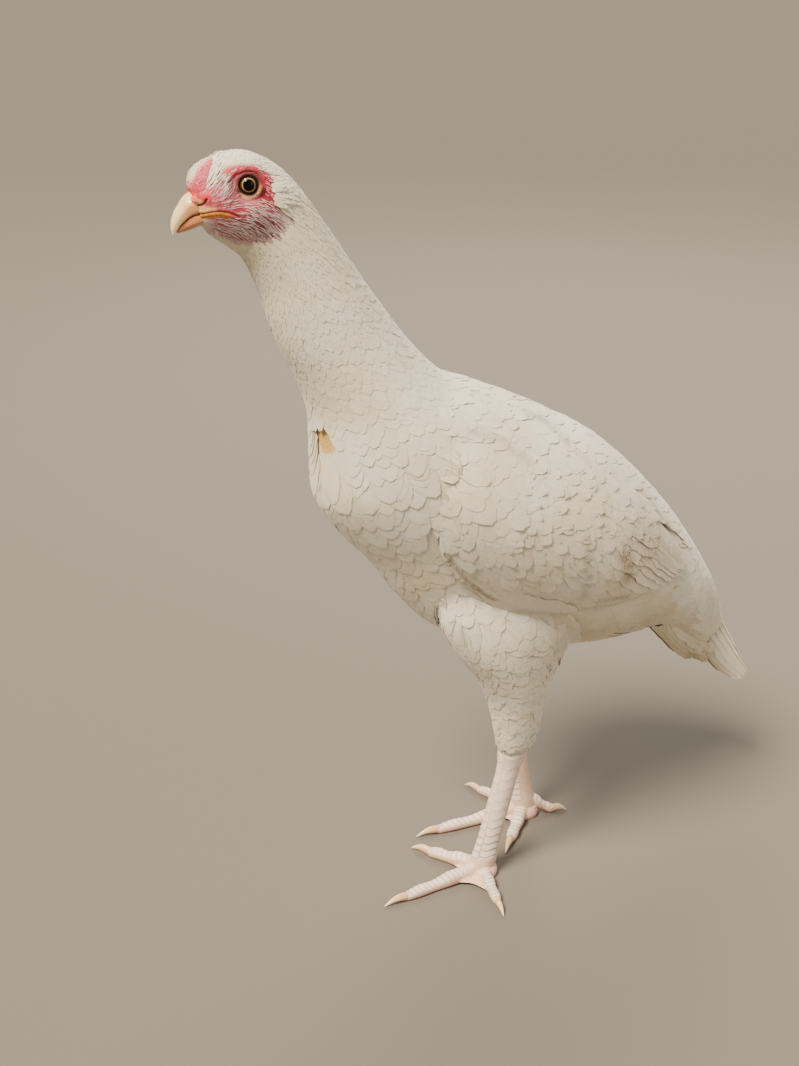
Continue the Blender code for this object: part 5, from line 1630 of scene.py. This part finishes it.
# A toe: where its flesh ends from the foot (forward, left) on the left and on the right foot,
# half width, number of plates, and length of the claw.
TOES = {
    "hallux": ((-1.65, -1.90), (-2.30, 0.80), 0.48, 6, 1.00),
    "inner": ((2.70, -3.55), (2.75, 2.95), 0.52, 10, 1.40),
    "middle": ((6.40, 0.50), (7.35, -0.42), 0.50, 16, 1.65),
    "outer": ((0.60, 3.70), (2.00, -4.00), 0.45, 12, 1.25),
}
HALLUX_RISE = 1.00  # cm above the floor of the hind toe's root
KNUCKLE = (1.15, 1.08, 0.86)  # cm, the radii of the lump where the toes meet
WEB_REACH = 2.9  # cm from the foot to where a web ends along its toes
TOE_START = 0.35  # cm from the foot to where a toe's first plate starts


def toe_way(side, toe):
    """A toe's direction on the floor, its length, half width, plates, claw and rise at the root."""
    end = np.array(TOES[toe][0] if side > 0 else TOES[toe][1])
    half, plates, claw = TOES[toe][2:]
    return unit(end), np.linalg.norm(end), half, plates, claw, HALLUX_RISE if toe == "hallux" else 0.0


def from_foot(side, way, reach, aside, up):
    """Places some way along a direction on the floor from the foot, and aside of it."""
    foot = FOOT[side]
    return place(foot[0] + way[..., 0] * reach - way[..., 1] * aside,
                 foot[1] + way[..., 1] * reach + way[..., 0] * aside, up)


def on_toe(side, way, f, l):
    """How far places lie along a toe's direction from the foot, and how far aside of it."""
    f, l = f - FOOT[side][0], l - FOOT[side][1]
    return f * way[0] + l * way[1], l * way[0] - f * way[1]


def toe_size(share, half, rise):
    """A toe's half width, its height and its lift off the floor at a share of its length."""
    slim = 1 - 0.30 * share + 0.06 * np.cos(share * 5 * np.pi)
    high = 1.8 * half * slim * (1 + 0.5 * (1 - share) ** 2)
    return half * slim, high, rise * np.maximum(0, 1 - share / 0.8)


def toe_form(side, toe):
    """A toe's flesh, flattened below and rounded off at its end."""
    way, length, half, _, _, rise = toe_way(side, toe)
    reach = np.linspace(0.1, length + 0.05, 70)[:, None]
    share = (reach - TOE_START) / (length - TOE_START)
    wide, high, lift = toe_size(share, half, rise)
    close = np.sqrt(1 - np.clip((reach - length + 0.33) / 0.39, 0, 1) ** 2)
    turn = turns(36)[None]
    y = wide * close * np.sign(np.sin(turn)) * np.abs(np.sin(turn)) ** 0.85
    z = (close * 0.7 + 0.3) * np.sign(np.cos(turn)) * np.abs(np.cos(turn)) ** 0.85
    z = lift + high * (0.5 + 0.5 * z) - high * 0.12 * (1 - close)
    return tube("toe", from_foot(side, way, reach, y, z))


def web_form(side, first, second):
    """The skin between two toes, with a hollow edge."""
    t = np.linspace(0, 1, 40)[:, None]
    way = unit(toe_way(side, first)[0] * (1 - t) + toe_way(side, second)[0] * t)[:, None]
    reach = WEB_REACH * (1 - 0.38 * np.sin(t * np.pi))
    turn = turns(24)[None]
    along = reach * (0.5 + 0.5 * np.cos(turn))
    z = 0.30 + 0.14 * np.sin(turn) * np.abs(np.sin(turn)) ** 0.2
    return tube("web", from_foot(side, way, along, 0.0, z))


def shank_form(side):
    """The shank, with a thick joint at its top and a smaller one at its foot."""
    share, turn = np.linspace(-0.06, 1.0, 90)[:, None], turns(56)[None]
    hock, foot = np.array(HOCK[side]), np.array(FOOT[side])
    middle = hock + (foot - hock) * share[..., None]
    joint = 0.28 * np.exp(-(share / 0.10) ** 2) + 0.12 * np.exp(-((share - 0.95) / 0.10) ** 2)
    deep, wide = SHANK_RADII[0] + joint, SHANK_RADII[1] + joint
    deep = deep - 0.08 * np.sin(turn) ** 2 * np.cos(turn)
    return tube("shank", place(middle[..., 0] + deep * np.cos(turn), middle[..., 1] + wide * np.sin(turn),
                               middle[..., 2] + 0 * turn))


print("plates on a foot's toes:", sum(toe[3] for toe in TOES.values()))

# %% [markdown]
# ## Plates of the legs
# A plate rises slowly towards its lower end and drops to the next one, as roof tiles do.
# Dust and old skin darken the groove between two plates, so the groove's place goes into
# the colour too. On the shank the plates get smaller towards the foot.

# %% Leg plates


def plates_on_shank(side, f, l, u):
    """For places on the shank: how far off it they are, and from 0 to 1 the place on a plate,
    the groove, the cover and the strength of the plates."""
    hock, foot = HOCK[side], FOOT[side]
    share = (hock[2] - u) / (hock[2] - foot[2])
    ahead = f - (hock[0] + (foot[0] - hock[0]) * share)
    outer = (l - (hock[1] + (foot[1] - hock[1]) * share)) * side
    turn = np.degrees(np.arctan2(outer, ahead))
    wide_row = turn > 28
    phase = 11 * share + 3 * share ** 4 + np.where(wide_row, 0.5, 0.0) + 0.10 * np.sin(turn * 0.08)
    pitch = 9.6 / (11 + 12 * np.clip(share, 0, 1) ** 3)
    seam = np.minimum(np.minimum(np.abs(turn + 62), np.abs(turn - 28)), np.abs(turn - 128)) * 0.014
    groove = np.minimum(np.abs(phase - np.round(phase)) * pitch, seam)
    covered = step_between(-66, -56, turn) * step_between(134, 124, turn)
    strong = 0.30 + 0.70 * step_between(0.45, 0.80, share)
    far = np.hypot(ahead, outer) / 0.9
    return far, phase % 1, np.exp(-(groove / 0.042) ** 2) * strong, covered, strong


def plates_on_toe(side, toe, f, l, u, top):
    """The same for places on a toe. top is how far the skin there faces up."""
    way, length, half, plates, _, rise = toe_way(side, toe)
    reach, y = on_toe(side, way, f, l)
    share = (reach - TOE_START) / (length - TOE_START)
    wide, high, lift = toe_size(np.clip(share, 0, 1), half, rise)
    phase = plates * share + 0.40 * (y / wide) ** 2
    pitch = (length - TOE_START) / plates
    groove = np.abs(phase - np.round(phase)) * pitch
    far = np.maximum(np.abs(y) / wide, np.abs(u - lift - high / 2) / (high / 2) * 0.8)
    far = far + 9 * (share < 0.1) + 9 * (share > 1.1)
    covered = step_between(0.15, 0.45, top) * step_between(0.12, 0.22, share) * step_between(1.0, 0.93, share)
    return far, phase % 1, np.exp(-(groove / 0.036) ** 2), covered, np.ones(len(f))


scaly_skin = painted_finish(
    "scaly_leg_skin", 0.48, 1.0, 0.10, speckle=0.12, subsurface=0.3, pebbles_mm=1.5, ior=1.50)
for side, word in SIDES:
    parts = [shank_form(side), egg((FOOT[side][0], FOOT[side][1], 0.34), KNUCKLE)]
    parts += [toe_form(side, toe) for toe in TOES]
    parts += [web_form(side, "inner", "middle"), web_form(side, "middle", "outer")]
    leg = fused(f"leg_skin_{word}", parts, 0.55 * MM, smooth=5)
    f, l, u = table_places(leg)
    out = normals_of(leg)
    found = [plates_on_shank(side, f, l, u)]
    found += [plates_on_toe(side, toe, f, l, u, out[:, 2]) for toe in TOES]
    far = np.stack([entry[0] for entry in found])
    far[0] = np.where(u > 1.7, far[0] * 0.3, 9)
    nearest = far.argmin(0)
    rise, groove, covered, strong = (
        np.take_along_axis(np.stack([entry[k] for entry in found]), nearest[None], 0)[0]
        for k in (1, 2, 3, 4))
    covered = covered * (far.min(0) < 1.45)
    height = (0.040 * rise ** 1.5 * strong - 0.022 * groove) * covered
    co = np.stack([f, l, u], -1) + out * TABLE_WAYS * height[:, None]
    co[:, 2] = np.maximum(co[:, 2], 0)
    move_points(leg, place(*co.T))
    web = step_between(2.6, 1.6, np.hypot(f - FOOT[side][0], l - FOOT[side][1]))
    web = web * step_between(0.9, 0.5, u) * step_between(1.0, 1.25, far.min(0))
    paint(leg, (
        ("#E4C2AB", 1.0),
        ("#DDA48F", step_between(0.3, -0.3, out[:, 2]) * step_between(1.4, 0.9, u) * 0.6),
        ("#EBDCCB", covered * 0.85),
        ("#F0C0AB", web * 0.8),
        ("#E2B29C", step_between(0.5, 0.0, rise) * covered * 0.35),
        ("#8A8582", groove * covered * 0.80),
        ("#C9A58F", step_between(0.12, 0.02, u) * 0.6),
    ))
    keep_numbers(leg, "pebbles", 1 - covered)
    leg.data.materials.append(scaly_skin)
    unwrap(leg)
    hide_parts(f"shank_{word}", *[f"toe_{word}_{toe}" for toe in TOES])
    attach(leg, "root")
    print(leg.name, len(leg.data.polygons), "faces")

# %% [markdown]
# ## Claws
# Each claw is a cone of horn over the last toe bone. It is deepest at the root, ridged
# along the top, bent down to the floor and worn blunt. Blood shows through its root.

# %% Claws
for side, word in SIDES:
    claws = []
    for toe in TOES:
        way, length, half, _, claw, _ = toe_way(side, toe)
        share, turn = np.linspace(-0.14, 1, 44)[:, None], turns(28)[None]
        base = 0.54 * half
        past = np.clip(share, 0, 1)
        rise = base * 1.25 + 0.14 * np.sin(past * np.pi) - (base * 1.25 - 0.09) * past ** 1.5
        size = base * (1 - 0.88 * past ** 1.6)
        ridge = 1 + 0.16 * np.maximum(np.sin(turn), 0) ** 6 - 0.10 * np.maximum(-np.sin(turn), 0) ** 2
        reach, y = length + claw * share, size * np.cos(turn) * 0.96
        z = np.maximum(rise + size * ridge * np.sin(turn) * 1.08, 0.0)
        claws.append(tube("claw", from_foot(side, way, reach, y, z)))
    claws = joined(f"claws_{word}", claws)
    f, l, u = table_places(claws)
    from_end = np.full(len(f), 9.0)
    for toe in TOES:
        way, length, _, _, claw, _ = toe_way(side, toe)
        reach, aside = on_toe(side, way, f, l)
        nearer = np.minimum(from_end, np.abs((reach - length) / claw))
        from_end = np.where(np.abs(aside) < 0.5, nearer, from_end)
    paint(claws, (
        ("#E6B091", 1.0),
        ("#EBCB94", step_between(0.05, 0.40, from_end)),
        ("#EFDDB8", step_between(0.55, 0.95, from_end)),
    ))
    claws.data.materials.append(horn)
    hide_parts(*[f"claw_{word}_{toe}" for toe in TOES])
    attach(claws, "root")
    print(claws.name, len(claws.data.polygons), "faces")

# %% [markdown]
# ## Skin under the coat
# Between and under the feathers lies the bird's own skin, a little inside the coat's
# surface. It is pale, as on most white breeds, and yellow with fat on the bare patch of
# the crop. The wings' flesh goes with it. Head and body are one piece, so that no seam shows.

# %% Skin under the coat
flesh = plain_form("flesh", np.linspace(8.2, 24, 220), 6.95)
move_points(flesh, points_of(flesh) - normals_of(flesh) * COAT_DEPTH)
flesh = joined("flesh", [flesh] + [wings[side].body() for side in wings])
flesh.data.materials.clear()
unwrap(flesh)
away = np.linalg.norm(np.stack(table_places(flesh), -1) - BARE_CROP, axis=1)
paint(flesh, (("#EFE8DA", 1.0), ("#D2AC66", step_between(1.5, 0.5, away))))
flesh.data.materials.append(face_skin)
skin = joined("hen_skin", [head, flesh])
bpy.data.objects.remove(form)
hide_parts("head", "torso", "neck", "tail", "thigh_left", "thigh_right", "wing_left", "wing_right")
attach(skin, "root")
for piece in coat:
    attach(piece, "root")
for face in wing_faces.values():
    bpy.data.objects.remove(face)
print("skin faces", len(skin.data.polygons), "coat pieces", len(coat))

# %% [markdown]
# ## Floor and light
# A plain matt floor takes the shadow. The sun stands high in front of the hen, on its left
# side, so the wing's feathers throw short shadows backward. A large soft light behind its
# left side fills the shadows, as a bright yard does. Another one, behind its right side,
# draws the outline of back and tail.

# %% Floor and light
floor_paint = new_material("pale_matt_floor", {"Base Color": colour("#6C665D"), "Roughness": 0.85})[0]
floor = mesh_piece("floor", [(-30, -30, 0), (30, -30, 0), (30, 30, 0), (-30, 30, 0)], [(0, 1, 2, 3)],
                   floor_paint)

# Name, kind, place, size (an angle for the sun), power and colour.
LIGHTS = (
    ("key_light", "SUN", (-1.3, -0.55, 2.3), 0.35, 8.6, "#FFF1DA"),
    ("fill_light", "AREA", (1.6, -2.0, 1.2), 2.0, 22.0, "#FFF4E6"),
    ("back_light", "AREA", (1.0, 1.5, 1.9), 1.3, 52.0, "#FFF8F0"),
)
for name, kind, at, size, power, tint in LIGHTS:
    lamp = bpy.data.lights.new(name, kind)
    if kind == "SUN":
        lamp.angle = size
    else:
        lamp.size = size
    lamp.energy, lamp.color = power, colour(tint)[:3]
    holder = bpy.data.objects.new(name, lamp)
    bpy.context.scene.collection.objects.link(holder)
    holder.location = at
    holder.rotation_euler = (Vector((0, 0, 0.25)) - Vector(at)).to_track_quat("-Z", "Y").to_euler()
world = bpy.data.worlds.new("studio")
bpy.context.scene.world = world
world.use_nodes = True
sky = world.node_tree.nodes["Background"]
sky.inputs["Color"].default_value = colour("#EFEBE2")
sky.inputs["Strength"].default_value = 0.48
print("lights:", [light[0] for light in LIGHTS])
